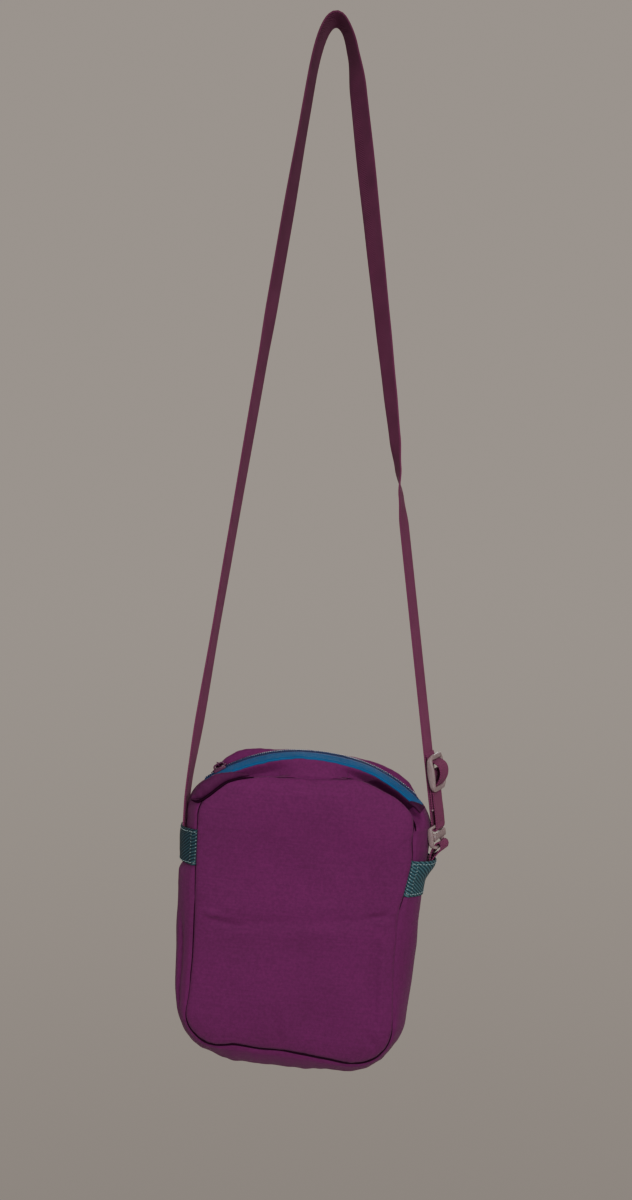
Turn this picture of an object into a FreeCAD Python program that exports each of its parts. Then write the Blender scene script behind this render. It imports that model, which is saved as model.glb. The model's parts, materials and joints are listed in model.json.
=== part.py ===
"""A small zip pouch that hangs by its webbing shoulder strap.

Everything is in millimetres. X is to the right, Y goes from the front to the back, Z is up, and the origin is
the middle of the strap where it goes over its peg. The pouch leans by pouch_lean about Y. The lower right
stretch of the strap, its link and its adjuster have a frame of their own: x outward, y across the webbing,
z up along the strap, from the link's top bar.
"""
import FreeCAD, Part
import math
import os

import Sketcher
from FreeCAD import Placement, Rotation, Vector

DIMENSIONS = {
    # The pouch's outline, in its own frame: x across, z up, the top arc's centre at 0, 0.
    "top_radius": 115,
    "shoulder_radius": 25,
    "corner_radius": 40,
    "side_distance": 79.75,
    "side_taper": 3.1,
    "bottom_distance": 100.5,
    "pouch_depth": 38,
    "edge_rounding": 17,
    "fabric": 1.2,
    "seam_depth": 17.8,
    # The zip lies along the top arc, from one zip_angle to the other.
    "zip_angle": 39.5,
    "tape_edge": 11,
    "coil_edge": 2.6,
    "coil_gap": 0.6,
    "coil_below": 0.6,
    "coil_above": 1.2,
    "tack_length": 2,
    "tack_half_width": 5,
    # The zip's slider and its pull.
    "slider_angle": 33,
    "slider_half_length": 5,
    "slider_half_width": 4.2,
    "slider_plate": 1,
    "slider_clearance": 0.45,
    "pull_pivot": 4.8,
    "pull_length": 19,
    "pull_width": 7,
    "pull_thickness": 1.4,
    "pull_droop": 14,
    # Pieces inside the pouch.
    "binding_outer": 18.5,
    "binding_width": 4,
    "binding_thickness": 2,
    "pocket_half_width": 57,
    "pocket_low": 79,
    "pocket_high": 9,
    "pocket_corner": 18,
    # The side tabs.
    "tab_height": 25,
    "tab_thickness": 3.7,
    "left_tab_low": 32,
    "right_tab_low": 22.5,
    "tab_pocket_floor": 4,
    # The webbing, and where it lies off the gusset.
    "webbing_width": 15,
    "webbing_thickness": 1.2,
    "webbing_offset": 1.6,
    "doubled_thickness": 2.4,
    "slot_clearance": 0.1,
    # The strap's route: it goes over a round peg and comes down on both sides.
    "peg_bend": 8.8,
    "twist_high": 440,
    "twist_low": 240,
    # Link and adjuster, both moulded frames with three bars.
    "bar_radius": 1,
    "frame_half_width": 11,
    "slot_half_width": 8,
    "wrap_radius": 1.7,
    "link_middle": 6.5,
    "link_bottom": 14.4,
    "link_corner": 2.6,
    "return_height": 21.7,
    "adjuster_low": 24.2,
    "adjuster_high": 47.9,
    "adjuster_middle": 36,
    "adjuster_corner": 2.6,
    "adjuster_inner": 2.2,
    "tail_low": 11,
    "slot_corner": 0.6,
    "bar_rounding": 0.8,
    # Places in the whole object's frame.
    "pouch_x": -25.4,
    "pouch_z": -622.4,
    "pouch_lean": 5,
    "link_x": 67.8,
    "link_z": -558,
    "strap_lean": 6,
    "strap_twist": 28,
}

doc = FreeCAD.newDocument("pouch")
sheet = doc.addObject("Spreadsheet::Sheet", "dims")
for row, (alias, value) in enumerate(DIMENSIONS.items(), start=1):
    sheet.set(f"A{row}", alias)
    sheet.set(f"B{row}", str(value))
    sheet.setAlias(f"B{row}", alias)
doc.recompute()

AXIS_X = Vector(1, 0, 0)
AXIS_Y = Vector(0, 1, 0)
AXIS_Z = Vector(0, 0, 1)
ORIGIN = Vector(0, 0, 0)
nodes = {}


def dim(alias):
    """A driving dimension's value."""
    return float(sheet.get(alias))


def worth(expression):
    """The value of an expression of the sheet's cells, angles in radians."""
    result = sheet.evalExpression(expression)
    if isinstance(result, (int, float)):
        return float(result)
    return math.radians(result.Value)


def bind(item, **expressions):
    """Binds properties of a document object to the sheet. In a name, _of_ stands for a dot."""
    for name, expression in expressions.items():
        item.setExpression(name.replace("_of_", "."), str(expression))
    return item


def node(item, name, place=Placement()):
    """Makes a document object one of the part's nodes."""
    item.Label = name
    item.Placement = place
    nodes[name] = item
    return item


# --- Frames -------------------------------------------------------------------------------------------------

pouch_place = Placement(Vector(dim("pouch_x"), 0, dim("pouch_z")), Rotation(AXIS_Y, dim("pouch_lean")))
slider_place = pouch_place.multiply(Placement(ORIGIN, Rotation(AXIS_Y, -dim("slider_angle"))))
link_point = Vector(dim("link_x"), 0, dim("link_z"))
run_place = Placement(link_point, Rotation(AXIS_Y, -dim("strap_lean")))
link_place = run_place.multiply(Placement(ORIGIN, Rotation(AXIS_Z, -dim("strap_twist"))))


# --- Sketches and bodies ------------------------------------------------------------------------------------


def new_body(name):
    return doc.addObject("PartDesign::Body", name)


def sketch_on(body, name, plane, height="0"):
    """A sketch on one of its own body's origin planes, or parallel to it at a height along its normal."""
    sketch = body.newObject("Sketcher::SketchObject", name)
    support = [item for item in body.Origin.OriginFeatures if item.Role == plane][0]
    sketch.AttachmentSupport = [(support, "")]
    sketch.MapMode = "FlatFace"
    sketch.setExpression("AttachmentOffset.Base.z", height)
    return sketch


def datum(sketch, name, expression, *parts):
    """A driving constraint, bound to the sheet."""
    index = sketch.addConstraint(Sketcher.Constraint(*parts, worth(expression)))
    sketch.renameConstraint(index, name)
    sketch.setExpression("Constraints." + name, expression)


def rectangle(sketch, name, left, right, low, high):
    """A rectangle whose four sides stand at the given distances from the sketch's axes."""
    corners = [(left, low), (right, low), (right, high), (left, high)]
    points = [Vector(worth(across), worth(up), 0) for across, up in corners]
    first = sketch.GeometryCount
    for index in range(4):
        sketch.addGeometry(Part.LineSegment(points[index], points[(index + 1) % 4]), False)
    for index in range(4):
        sketch.addConstraint(Sketcher.Constraint("Coincident", first + index, 2, first + (index + 1) % 4, 1))
        side = "Vertical" if index % 2 else "Horizontal"
        sketch.addConstraint(Sketcher.Constraint(side, first + index))
    datum(sketch, name + "_left", left, "DistanceX", -1, 1, first, 1)
    datum(sketch, name + "_low", low, "DistanceY", -1, 1, first, 1)
    datum(sketch, name + "_right", right, "DistanceX", -1, 1, first + 1, 2)
    datum(sketch, name + "_high", high, "DistanceY", -1, 1, first + 1, 2)


def pouch_outline(sketch, name, grow):
    """The pouch's outline, grown outward by an expression: a top arc, two shoulders, two sides that taper
    downward, and two round corners with a flat bottom between them."""
    extra = worth(grow)
    taper = math.radians(dim("side_taper"))
    normal = Vector(math.cos(taper), -math.sin(taper), 0)
    along = Vector(math.sin(taper), math.cos(taper), 0)
    inward = dim("side_distance") - dim("shoulder_radius")
    reach = dim("top_radius") - dim("shoulder_radius")
    shoulder = normal * inward + along * math.sqrt(reach**2 - inward**2)
    corner_z = dim("corner_radius") - dim("bottom_distance")
    corner_x = (dim("side_distance") - dim("corner_radius") + corner_z * math.sin(taper)) / math.cos(taper)
    corner = Vector(corner_x, corner_z, 0)
    shoulder_turn = math.atan2(shoulder.y, shoulder.x)
    top = dim("top_radius") + extra
    shoulder_bend = dim("shoulder_radius") + extra
    corner_bend = dim("corner_radius") + extra

    def arc(centre, radius, start, end):
        return Part.ArcOfCircle(Part.Circle(centre, AXIS_Z, radius), start, end)

    def mirrored(point):
        return Vector(-point.x, point.y, 0)

    side_high = shoulder + normal * shoulder_bend
    side_low = corner + normal * corner_bend
    base = Vector(corner.x, corner.y - corner_bend, 0)
    down = 1.5 * math.pi
    loop = [
        arc(ORIGIN, top, shoulder_turn, math.pi - shoulder_turn),
        arc(mirrored(shoulder), shoulder_bend, math.pi - shoulder_turn, math.pi + taper),
        Part.LineSegment(mirrored(side_high), mirrored(side_low)),
        arc(mirrored(corner), corner_bend, math.pi + taper, down),
        Part.LineSegment(mirrored(base), base),
        arc(corner, corner_bend, down, 2 * math.pi - taper),
        Part.LineSegment(side_low, side_high),
        arc(shoulder, shoulder_bend, -taper, shoulder_turn),
    ]
    first = sketch.GeometryCount
    for curve in loop:
        sketch.addGeometry(curve, False)
    for index in range(len(loop)):
        joined = first + (index + 1) % len(loop)
        sketch.addConstraint(Sketcher.Constraint("Tangent", first + index, 2, joined, 1))
    sketch.addConstraint(Sketcher.Constraint("Coincident", first, 3, -1, 1))
    sketch.addConstraint(Sketcher.Constraint("Horizontal", first + 4))
    radii = {0: "top_radius", 1: "shoulder_radius", 7: "shoulder_radius", 3: "corner_radius", 5: "corner_radius"}
    for index, alias in radii.items():
        datum(sketch, f"{name}_radius_{index}", f"dims.{alias} + {grow}", "Radius", first + index)
    for index, alias in {2: "side_distance", 6: "side_distance", 4: "bottom_distance"}.items():
        datum(sketch, f"{name}_distance_{index}", f"dims.{alias} + {grow}", "Distance", -1, 1, first + index)
    datum(sketch, name + "_left_taper", "(dims.side_taper - 90) * 1 deg", "Angle", first + 2)
    datum(sketch, name + "_right_taper", "(90 - dims.side_taper) * 1 deg", "Angle", first + 6)


def pad(body, sketch, length, symmetric=False):
    feature = body.newObject("PartDesign::Pad", sketch.Name + "_pad")
    feature.Profile = sketch
    feature.SideType = "Symmetric" if symmetric else "One side"
    bind(feature, Length=length)
    doc.recompute()
    return feature


def pocket_through(body, sketch):
    """Cuts a sketch right through its body, both ways, and makes sure that something was cut."""
    before = body.Shape.Volume
    feature = body.newObject("PartDesign::Pocket", sketch.Name + "_cut")
    feature.Profile = sketch
    feature.SideType = "Symmetric"
    feature.Type = "ThroughAll"
    doc.recompute()
    if body.Shape.Volume > before - 1:
        raise RuntimeError(feature.Name + " cuts nothing")
    return feature


def round_edges(body, name, radius, wanted):
    """Rounds the edges of a body's tip for which wanted(edge) is true."""
    tip = body.Tip
    edges = [f"Edge{index}" for index, edge in enumerate(tip.Shape.Edges, start=1) if wanted(edge)]
    feature = body.newObject("PartDesign::Fillet", name)
    feature.Base = (tip, edges)
    bind(feature, Radius=radius)
    doc.recompute()
    return feature


# --- Part primitives ----------------------------------------------------------------------------------------


def box(name, x, y, z):
    """A Part::Box between pairs of expressions."""
    item = doc.addObject("Part::Box", name)
    bind(item, Length=f"({x[1]}) - ({x[0]})", Width=f"({y[1]}) - ({y[0]})", Height=f"({z[1]}) - ({z[0]})")
    bind(item, Placement_of_Base_of_x=x[0], Placement_of_Base_of_y=y[0], Placement_of_Base_of_z=z[0])
    return item


def rod(name, radius, half_length, x, z, axis):
    """A Part::Cylinder centred in y or x, along AXIS_X or AXIS_Y, through the point x, z."""
    item = doc.addObject("Part::Cylinder", name)
    bind(item, Radius=radius, Height=f"2 * ({half_length})")
    turn = Rotation(AXIS_Z, axis)
    start = Vector(worth(x), 0, worth(z)) - axis * worth(half_length)
    item.Placement = Placement(start, turn)
    return item


def combine(kind, name, pieces):
    """A boolean of two or more document objects: Cut, Common, MultiFuse or Compound."""
    item = doc.addObject("Part::" + kind, name)
    if kind == "Compound":
        item.Links = pieces
    elif kind == "MultiFuse":
        item.Shapes = pieces
    else:
        item.Base, item.Tool = pieces
    return item


# --- The pouch ----------------------------------------------------------------------------------------------


def pouch_form(name, grow):
    """The pouch's rounded solid form, grown outward by an expression."""
    body = new_body(name)
    sketch = sketch_on(body, name + "_outline", "XZ_Plane")
    pouch_outline(sketch, name, grow)
    pad(body, sketch, f"dims.pouch_depth + 2 * ({grow})", symmetric=True)
    half_depth = worth(f"dims.pouch_depth / 2 + {grow}")

    def on_rim(edge):
        return abs(abs(edge.CenterOfMass.y) - half_depth) < 0.01

    round_edges(body, name + "_rounding", f"dims.edge_rounding + {grow}", on_rim)
    return body


WIDE = "200"
zip_end = "dims.top_radius * cos(dims.zip_angle * 1 deg)"
form = pouch_form("form", "0")
hollow = pouch_form("hollow", "-dims.fabric")
cloth = combine("Cut", "cloth", (form, hollow))

ALL_X = (f"-{WIDE}", WIDE)
ALL_Z = (f"-{WIDE}", WIDE)
ABOVE = (zip_end, WIDE)
BELOW = (f"-{WIDE}", zip_end)


def cloth_piece(name, y, z):
    """A piece of the pouch's cloth, between two depths and two heights."""
    node(combine("Common", name, (cloth, box(name + "_range", ALL_X, y, z))), name, pouch_place)


cloth_piece("front_panel", (f"-{WIDE}", "-dims.seam_depth"), ALL_Z)
cloth_piece("back_panel", ("dims.seam_depth", WIDE), ALL_Z)
cloth_piece("side_gusset", ("-dims.seam_depth", "dims.seam_depth"), BELOW)
cloth_piece("front_zip_strip", ("-dims.seam_depth", "-dims.tape_edge"), ABOVE)
cloth_piece("back_zip_strip", ("dims.tape_edge", "dims.seam_depth"), ABOVE)
cloth_piece("front_zip_tape", ("-dims.tape_edge", "-dims.coil_edge"), ABOVE)
cloth_piece("back_zip_tape", ("dims.coil_edge", "dims.tape_edge"), ABOVE)


def zip_coil(name, near, far):
    """One half of the zip's coil, turned about the top arc's centre."""
    body = new_body(name + "_body")
    sketch = sketch_on(body, name + "_section", "YZ_Plane")
    low = "dims.top_radius - dims.coil_below"
    high = "dims.top_radius + dims.coil_above"
    rectangle(sketch, "section", near, far, low, high)
    turned = body.newObject("PartDesign::Revolution", name + "_turn")
    turned.Profile = sketch
    turned.ReferenceAxis = (sketch, ["H_Axis"])
    turned.Midplane = True
    bind(turned, Angle="2 * dims.zip_angle - 1")
    node(body, name, pouch_place)


zip_coil("front_zip_coil", "-dims.coil_edge", "-dims.coil_gap")
zip_coil("back_zip_coil", "dims.coil_gap", "dims.coil_edge")


def zip_end_tacks():
    """A bar of stitches across the zip just past each of its ends, on the gusset."""
    tacks = []
    for side in (-1, 1):
        half = "dims.tack_half_width"
        low = "dims.top_radius + 0.05"
        high = "dims.top_radius + dims.coil_above"
        across = ("-dims.tack_length / 2", "dims.tack_length / 2")
        bar = box("tack_bar", across, (f"-{half}", half), (low, high))
        doc.recompute()
        turn = dim("zip_angle") + math.degrees(0.75 * dim("tack_length") / dim("top_radius"))
        tack = combine("Compound", "tack", [bar])
        tack.Placement = Placement(ORIGIN, Rotation(AXIS_Y, side * turn))
        tacks.append(tack)
    node(combine("Compound", "zip_end_tacks", tacks), "zip_end_tacks", pouch_place)


zip_end_tacks()


def seam_binding(name, height):
    """The bound seam allowance, a flat ring turned onto the inner face of a panel. The sketch stands at a
    height toward the front, and the ring is padded from there toward the front."""
    body = new_body(name + "_body")
    sketch = sketch_on(body, name + "_ring", "XZ_Plane", height)
    pouch_outline(sketch, "outer", "-dims.binding_outer")
    pouch_outline(sketch, "inner", "-dims.binding_outer - dims.binding_width")
    pad(body, sketch, "dims.binding_thickness")
    node(body, name, pouch_place)


seam_binding("front_seam_binding", "dims.seam_depth - dims.binding_thickness")
seam_binding("back_seam_binding", "-dims.seam_depth")


def inner_pocket():
    """A flat slip pocket that hangs behind the front panel."""
    body = new_body("inner_pocket_body")
    height = "dims.seam_depth - dims.binding_thickness - dims.fabric"
    sketch = sketch_on(body, "pocket_sheet", "XZ_Plane", height)
    half = "dims.pocket_half_width"
    rectangle(sketch, "sheet", f"-{half}", half, "-dims.pocket_low", "dims.pocket_high")
    pad(body, sketch, "dims.fabric")

    def lower_corner(edge):
        upright = abs(edge.Vertexes[0].Y - edge.Vertexes[-1].Y) > 0.5
        return upright and edge.CenterOfMass.z < 0

    round_edges(body, "pocket_corners", "dims.pocket_corner", lower_corner)
    node(body, "inner_pocket", pouch_place)


inner_pocket()

# --- Side tabs ----------------------------------------------------------------------------------------------

tab_form = pouch_form("tab_form", "dims.tab_thickness")
tab_cloth = combine("Cut", "tab_cloth", (tab_form, form))


def side_place(side):
    """A frame on a side of the pouch, level with the top arc's centre: x outward from the gusset's surface,
    z up along the side."""
    reach = dim("side_distance") / math.cos(math.radians(dim("side_taper")))
    return Placement(Vector(side * reach, 0, 0), Rotation(AXIS_Y, side * dim("side_taper")))


def side_tab(name, side, low, doubled):
    """A tape wrapped over the gusset from seam to seam. A pocket in it holds the end of the webbing."""
    between = ("-dims.seam_depth", "dims.seam_depth")
    x = ("0", WIDE) if side > 0 else (f"-{WIDE}", "0")
    reach = box(name + "_range", x, between, (low, f"{low} + dims.tab_height"))
    tape = combine("Common", name + "_tape", (tab_cloth, reach))
    half = f"({doubled} / 2 + dims.slot_clearance)"
    out = "dims.webbing_offset" if side > 0 else "-dims.webbing_offset"
    width = "dims.webbing_width / 2 + dims.slot_clearance"
    room = box(name + "_room", (f"{out} - {half}", f"{out} + {half}"), (f"-({width})", width),
               (f"{low} + dims.tab_pocket_floor", f"{low} + dims.tab_height + 20"))
    slot = combine("Compound", name + "_slot", [room])
    slot.Placement = side_place(side)
    node(combine("Cut", name, (tape, slot)), name, pouch_place)


side_tab("left_tab", -1, "dims.left_tab_low", "dims.webbing_thickness")
side_tab("right_tab", 1, "dims.right_tab_low", "dims.doubled_thickness")

# --- Webbing ------------------------------------------------------------------------------------------------


def rounded_path(points, radii):
    """Straight runs between points, joined by tangent arcs of the given radii. Returns the wire."""
    edges = []
    start = points[0]
    for before, corner, after, radius in zip(points, points[1:], points[2:], radii):
        arriving = (corner - before).normalize()
        leaving = (after - corner).normalize()
        half_turn = arriving.getAngle(leaving) / 2
        trim = radius * math.tan(half_turn)
        arc_start = corner - arriving * trim
        arc_end = corner + leaving * trim
        bisector = (leaving - arriving).normalize()
        middle = corner + bisector * (radius / math.cos(half_turn) - radius)
        edges.append(Part.LineSegment(start, arc_start).toShape())
        edges.append(Part.Arc(arc_start, middle, arc_end).toShape())
        start = arc_end
    edges.append(Part.LineSegment(start, points[-1]).toShape())
    return Part.Wire(edges)


def gentle_radius(before, corner, after):
    """The largest bend that two runs of webbing leave room for."""
    arriving = corner - before
    leaving = after - corner
    return 0.45 * min(arriving.Length, leaving.Length) / math.tan(arriving.getAngle(leaving) / 2)


def section(centre, thickness_axis, width_axis, thickness, width):
    """A rectangular section of webbing."""
    across = thickness_axis * (thickness / 2)
    along = width_axis * (width / 2)
    corners = [centre - across - along, centre + across - along, centre + across + along, centre - across + along]
    return Part.makePolygon(corners + corners[:1])


def ribbon(wire):
    """Webbing along a flat path in a frame's xz plane, its width along y."""
    start = wire.Edges[0]
    direction = start.tangentAt(start.FirstParameter)
    profile = section(start.valueAt(start.FirstParameter), direction.cross(AXIS_Y), AXIS_Y, thick, wide)
    sweep = Part.BRepOffsetAPI.MakePipeShell(wire)
    sweep.setBiNormalMode(AXIS_Y)
    sweep.add(profile)
    sweep.build()
    sweep.makeSolid()
    solid = sweep.shape()
    expected = wire.Length * thick * wide
    if abs(solid.Volume - expected) > 0.01 * expected:
        raise RuntimeError("a ribbon's volume is wrong")
    return solid


def webbing_feature(name, shape, place=Placement()):
    """A node whose shape is made here, from the sheet's values."""
    if not shape.isValid() or len(shape.Solids) != 1:
        raise RuntimeError(name + " is not one valid solid")
    feature = doc.addObject("Part::Feature", name + "_shape")
    feature.Shape = shape
    return node(feature, name, place)


def placed(shape, place):
    moved = shape.copy()
    moved.Placement = place
    return moved


thick = dim("webbing_thickness")
wide = dim("webbing_width")
wrap = dim("wrap_radius")
left_side = pouch_place.multiply(side_place(-1))
right_side = pouch_place.multiply(side_place(1))
tab_floor = dim("tab_pocket_floor") + 1


def strap_point(height):
    """A point on the strap's straight right run, so far above the link's top bar."""
    return run_place.multVec(Vector(0, 0, height))


# The strap's route: out of the left tab, a slight turn above the pouch's shoulder, over the peg with two
# turns, and down to the link.
strap_route = [
    left_side.multVec(Vector(-dim("webbing_offset"), 0, dim("left_tab_low") + tab_floor)),
    Vector(-104.2, 0, -543.2),
    Vector(-7.5, 0, 0.3),
    Vector(8.1, 0, -0.3),
    strap_point(dim("twist_high")),
]
peg = dim("peg_bend")
shoulder_bend = gentle_radius(*strap_route[:3])
strap_path = rounded_path(strap_route, [shoulder_bend, peg, peg])


def shoulder_strap():
    """The strap: flat from the left tab over the peg, then slowly twisted, then flat again down to the link,
    where it goes round the top bar from the inside."""
    high = dim("twist_high")
    low = dim("twist_low")
    upper = ribbon(strap_path)
    outward = run_place.Rotation.multVec(AXIS_X)
    turned_outward = link_place.Rotation.multVec(AXIS_X)
    turned_width = link_place.Rotation.multVec(AXIS_Y)
    sections = [
        section(strap_point(high), outward, AXIS_Y, thick, wide),
        section(strap_point(low), turned_outward, turned_width, thick, wide),
    ]
    twisted = Part.makeLoft(sections, True, True)
    bar_path = Part.Wire([
        Part.LineSegment(Vector(0, 0, low), ORIGIN).toShape(),
        Part.Arc(ORIGIN, Vector(wrap, 0, -wrap), Vector(2 * wrap, 0, 0)).toShape(),
    ])
    lower = placed(ribbon(bar_path), link_place)
    webbing_feature("shoulder_strap", upper.fuse([twisted, lower]))
    length = strap_path.Length + high - low + bar_path.Length
    print("strap length", round(length, 1), "bends", round(shoulder_bend, 1), peg, peg, wrap)


shoulder_strap()


def strap_return():
    """The strand that comes back up from the link's top bar, outside the running strap."""
    half = "dims.webbing_thickness / 2"
    middle = "2 * dims.wrap_radius"
    width = "dims.webbing_width / 2"
    strand = box("strand", (f"{middle} - {half}", f"{middle} + {half}"), (f"-{width}", width),
                 ("0", "dims.return_height"))
    node(combine("Compound", "strap_return", [strand]), "strap_return", link_place)


strap_return()


def strap_end_loop():
    """The strap's sewn end: a short tail beside the strap, over the adjuster's middle bar, and down behind
    its lower bar to meet the returning strand."""
    bar_x = dim("adjuster_inner") + dim("bar_radius")
    bar_z = dim("adjuster_middle")
    tail = Vector(bar_x - wrap, 0, dim("tail_low"))
    near_side = Vector(bar_x - wrap, 0, bar_z)
    far_side = Vector(bar_x + wrap, 0, bar_z)
    over = Part.Arc(near_side, Vector(bar_x, 0, bar_z + wrap), far_side)
    route = [
        far_side,
        Vector(bar_x + wrap, 0, bar_z - 2.5),
        Vector(2 * wrap, 0, bar_z - 6.5),
        Vector(2 * wrap, 0, dim("return_height") + 0.3),
    ]
    bends = [gentle_radius(*route[:3]), gentle_radius(*route[1:])]
    down = rounded_path(route, bends)
    rise = Part.LineSegment(tail, near_side).toShape()
    webbing_feature("strap_end_loop", ribbon(Part.Wire([rise, over.toShape()] + down.Edges)), link_place)


strap_end_loop()


def anchor_webbing():
    """A short doubled piece of webbing: round the link's bottom bar and down into the right tab."""
    doubled = dim("doubled_thickness")
    bar_centre = link_place.multVec(Vector(wrap, 0, -dim("link_bottom")))
    width_axis = link_place.Rotation.multVec(AXIS_Y)
    outer = dim("bar_radius") + 0.1 + thick
    ring_start = bar_centre - width_axis * (wide / 2)
    ring = Part.makeCylinder(outer, wide, ring_start, width_axis)
    bore = Part.makeCylinder(dim("bar_radius") + 0.1, 2 * wide, bar_centre - width_axis * wide, width_axis)
    entry_height = dim("right_tab_low") + dim("tab_height") + 1
    entry = right_side.multVec(Vector(dim("webbing_offset"), 0, entry_height))
    direction = (entry - bar_centre).normalize()
    bar_thickness_axis = width_axis.cross(direction).normalize()
    entry_axis = right_side.Rotation.multVec(AXIS_X)
    if bar_thickness_axis.dot(entry_axis) < 0:
        bar_thickness_axis = bar_thickness_axis * -1
    sections = [
        section(bar_centre, bar_thickness_axis, width_axis, 2 * outer, wide),
        section(entry, entry_axis, AXIS_Y, doubled, wide),
    ]
    neck = Part.makeLoft(sections, True, True)
    floor_height = dim("right_tab_low") + tab_floor
    end = Part.makeBox(doubled, wide, entry_height - floor_height,
                       Vector(dim("webbing_offset") - doubled / 2, -wide / 2, floor_height))
    webbing_feature("anchor_webbing", ring.fuse([neck, placed(end, right_side)]).cut(bore))


anchor_webbing()

# --- Link and adjuster --------------------------------------------------------------------------------------


def ring_frame(name, low, high, near, far, corner):
    """A moulded ring that the webbing goes through, its bars along y. All its edges are rounded."""
    body = new_body(name + "_body")
    outline = sketch_on(body, name + "_outline", "YZ_Plane", near)
    half = "dims.frame_half_width"
    rectangle(outline, "outline", f"-{half}", half, low, high)
    pad(body, outline, f"({far}) - ({near})")

    def along_depth(edge):
        return abs(edge.Vertexes[0].X - edge.Vertexes[-1].X) > 0.5

    def in_slot(edge):
        return along_depth(edge) and abs(edge.CenterOfMass.y) < dim("slot_half_width") + 0.1

    round_edges(body, name + "_corners", corner, along_depth)
    slot = sketch_on(body, name + "_slot", "YZ_Plane")
    bar = "2 * dims.bar_radius"
    width = "dims.slot_half_width"
    rectangle(slot, "slot", f"-{width}", width, f"{low} + {bar}", f"{high} - {bar}")
    pocket_through(body, slot)
    round_edges(body, name + "_slot_corners", "dims.slot_corner", in_slot)
    round_edges(body, name + "_edges", "dims.bar_rounding", lambda edge: not along_depth(edge))
    return body


def middle_bar(name, x, z):
    return rod(name, "dims.bar_radius", "dims.slot_half_width + 1", x, z, AXIS_Y)


def strap_link():
    """The fixed link between the strap and the pouch's anchor webbing."""
    bar = "dims.bar_radius"
    near = f"dims.wrap_radius - {bar}"
    far = f"dims.wrap_radius + {bar}"
    ring = ring_frame("link", f"-dims.link_bottom - {bar}", bar, near, far, "dims.link_corner")
    middle = middle_bar("link_middle_bar", "dims.wrap_radius", "-dims.link_middle")
    return node(combine("MultiFuse", "strap_link", [ring, middle]), "strap_link", link_place)


def strap_adjuster():
    """The sliding adjuster: its middle bar stands nearer to the strap than the other two."""
    bar = "dims.bar_radius"
    near = "dims.adjuster_inner"
    far = f"{near} + 4 * {bar}"
    ring = ring_frame("adjuster", "dims.adjuster_low", "dims.adjuster_high", near, far, "dims.adjuster_corner")
    width = "dims.slot_half_width"
    inside = (f"{near} - 1", f"{near} + 2 * {bar}")
    across = (f"-{width}", width)
    cuts = [
        box("lower_relief", inside, across, ("dims.adjuster_low - 1", f"dims.adjuster_low + 3 * {bar}")),
        box("upper_relief", inside, across, (f"dims.adjuster_high - 3 * {bar}", "dims.adjuster_high + 1")),
    ]
    relieved = combine("Cut", "relieved_ring", (ring, combine("MultiFuse", "reliefs", cuts)))
    middle = middle_bar("adjuster_middle_bar", f"{near} + {bar}", "dims.adjuster_middle")
    return node(combine("MultiFuse", "strap_adjuster", [relieved, middle]), "strap_adjuster", link_place)


strap_link()
strap_adjuster()

# --- The zip's slider and its pull --------------------------------------------------------------------------


def zip_slider():
    """Two plates, above the coils and below the tapes, joined by a post between the coils, with flanges
    over the tapes and an arch for the pull."""
    crest = "dims.top_radius"
    length = ("-dims.slider_half_length", "dims.slider_half_length")
    width = ("-dims.slider_half_width", "dims.slider_half_width")
    high = f"{crest} + dims.coil_above + dims.slider_clearance"
    low = f"{crest} - dims.fabric - dims.slider_clearance"
    pieces = [
        box("top_plate", length, width, (high, f"{high} + dims.slider_plate")),
        box("bottom_plate", length, width, (f"{low} - dims.slider_plate", low)),
        box("post", ("-2", "2"), ("-0.3", "0.3"), (f"{low} - 0.2", f"{high} + 0.2")),
    ]
    for side in ("-", ""):
        flange = ("3.1", "dims.slider_half_width") if side == "" else ("-dims.slider_half_width", "-3.1")
        pieces.append(box("flange", length, flange, (f"{crest} + 0.5", f"{high} + 0.2")))
    for end in (("-4.2", "-2.6"), ("2.6", "4.2")):
        pieces.append(box("arch_leg", end, ("-0.7", "0.7"), (high, f"{crest} + dims.pull_pivot + 0.6")))
    pieces.append(rod("arch_bar", "0.6", "3.4", "0", f"{crest} + dims.pull_pivot", AXIS_X))
    node(combine("MultiFuse", "zip_slider", pieces), "zip_slider", slider_place)


zip_slider()


def zip_pull():
    """A flat pull with an eye round the slider's arch. It droops toward the back."""
    eye_width = "1.5"
    eye = rod("eye", "1.8", eye_width, "0", "0", AXIS_X)
    half = "dims.pull_width / 2"
    half_thick = "dims.pull_thickness / 2"
    stem = box("stem", ("-1.5", "1.5"), ("0", "5"), (f"-{half_thick}", half_thick))
    thickness = (f"-{half_thick}", half_thick)
    blade = box("blade", (f"-{half}", half), ("4.5", f"dims.pull_length - {half}"), thickness)
    tip = doc.addObject("Part::Cylinder", "tip")
    bind(tip, Radius=half, Height="dims.pull_thickness")
    tip_centre = Vector(0, dim("pull_length") - dim("pull_width") / 2, -dim("pull_thickness") / 2)
    tip.Placement = Placement(tip_centre, Rotation())
    solid = combine("MultiFuse", "pull_solid", [eye, stem, blade, tip])
    bore = rod("eye_bore", "1", "4", "0", "0", AXIS_X)
    pivot = Placement(Vector(0, 0, dim("top_radius") + dim("pull_pivot")), Rotation(AXIS_X, -dim("pull_droop")))
    node(combine("Cut", "zip_pull", (solid, bore)), "zip_pull", slider_place.multiply(pivot))


zip_pull()

# --- Checks and files ---------------------------------------------------------------------------------------

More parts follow.
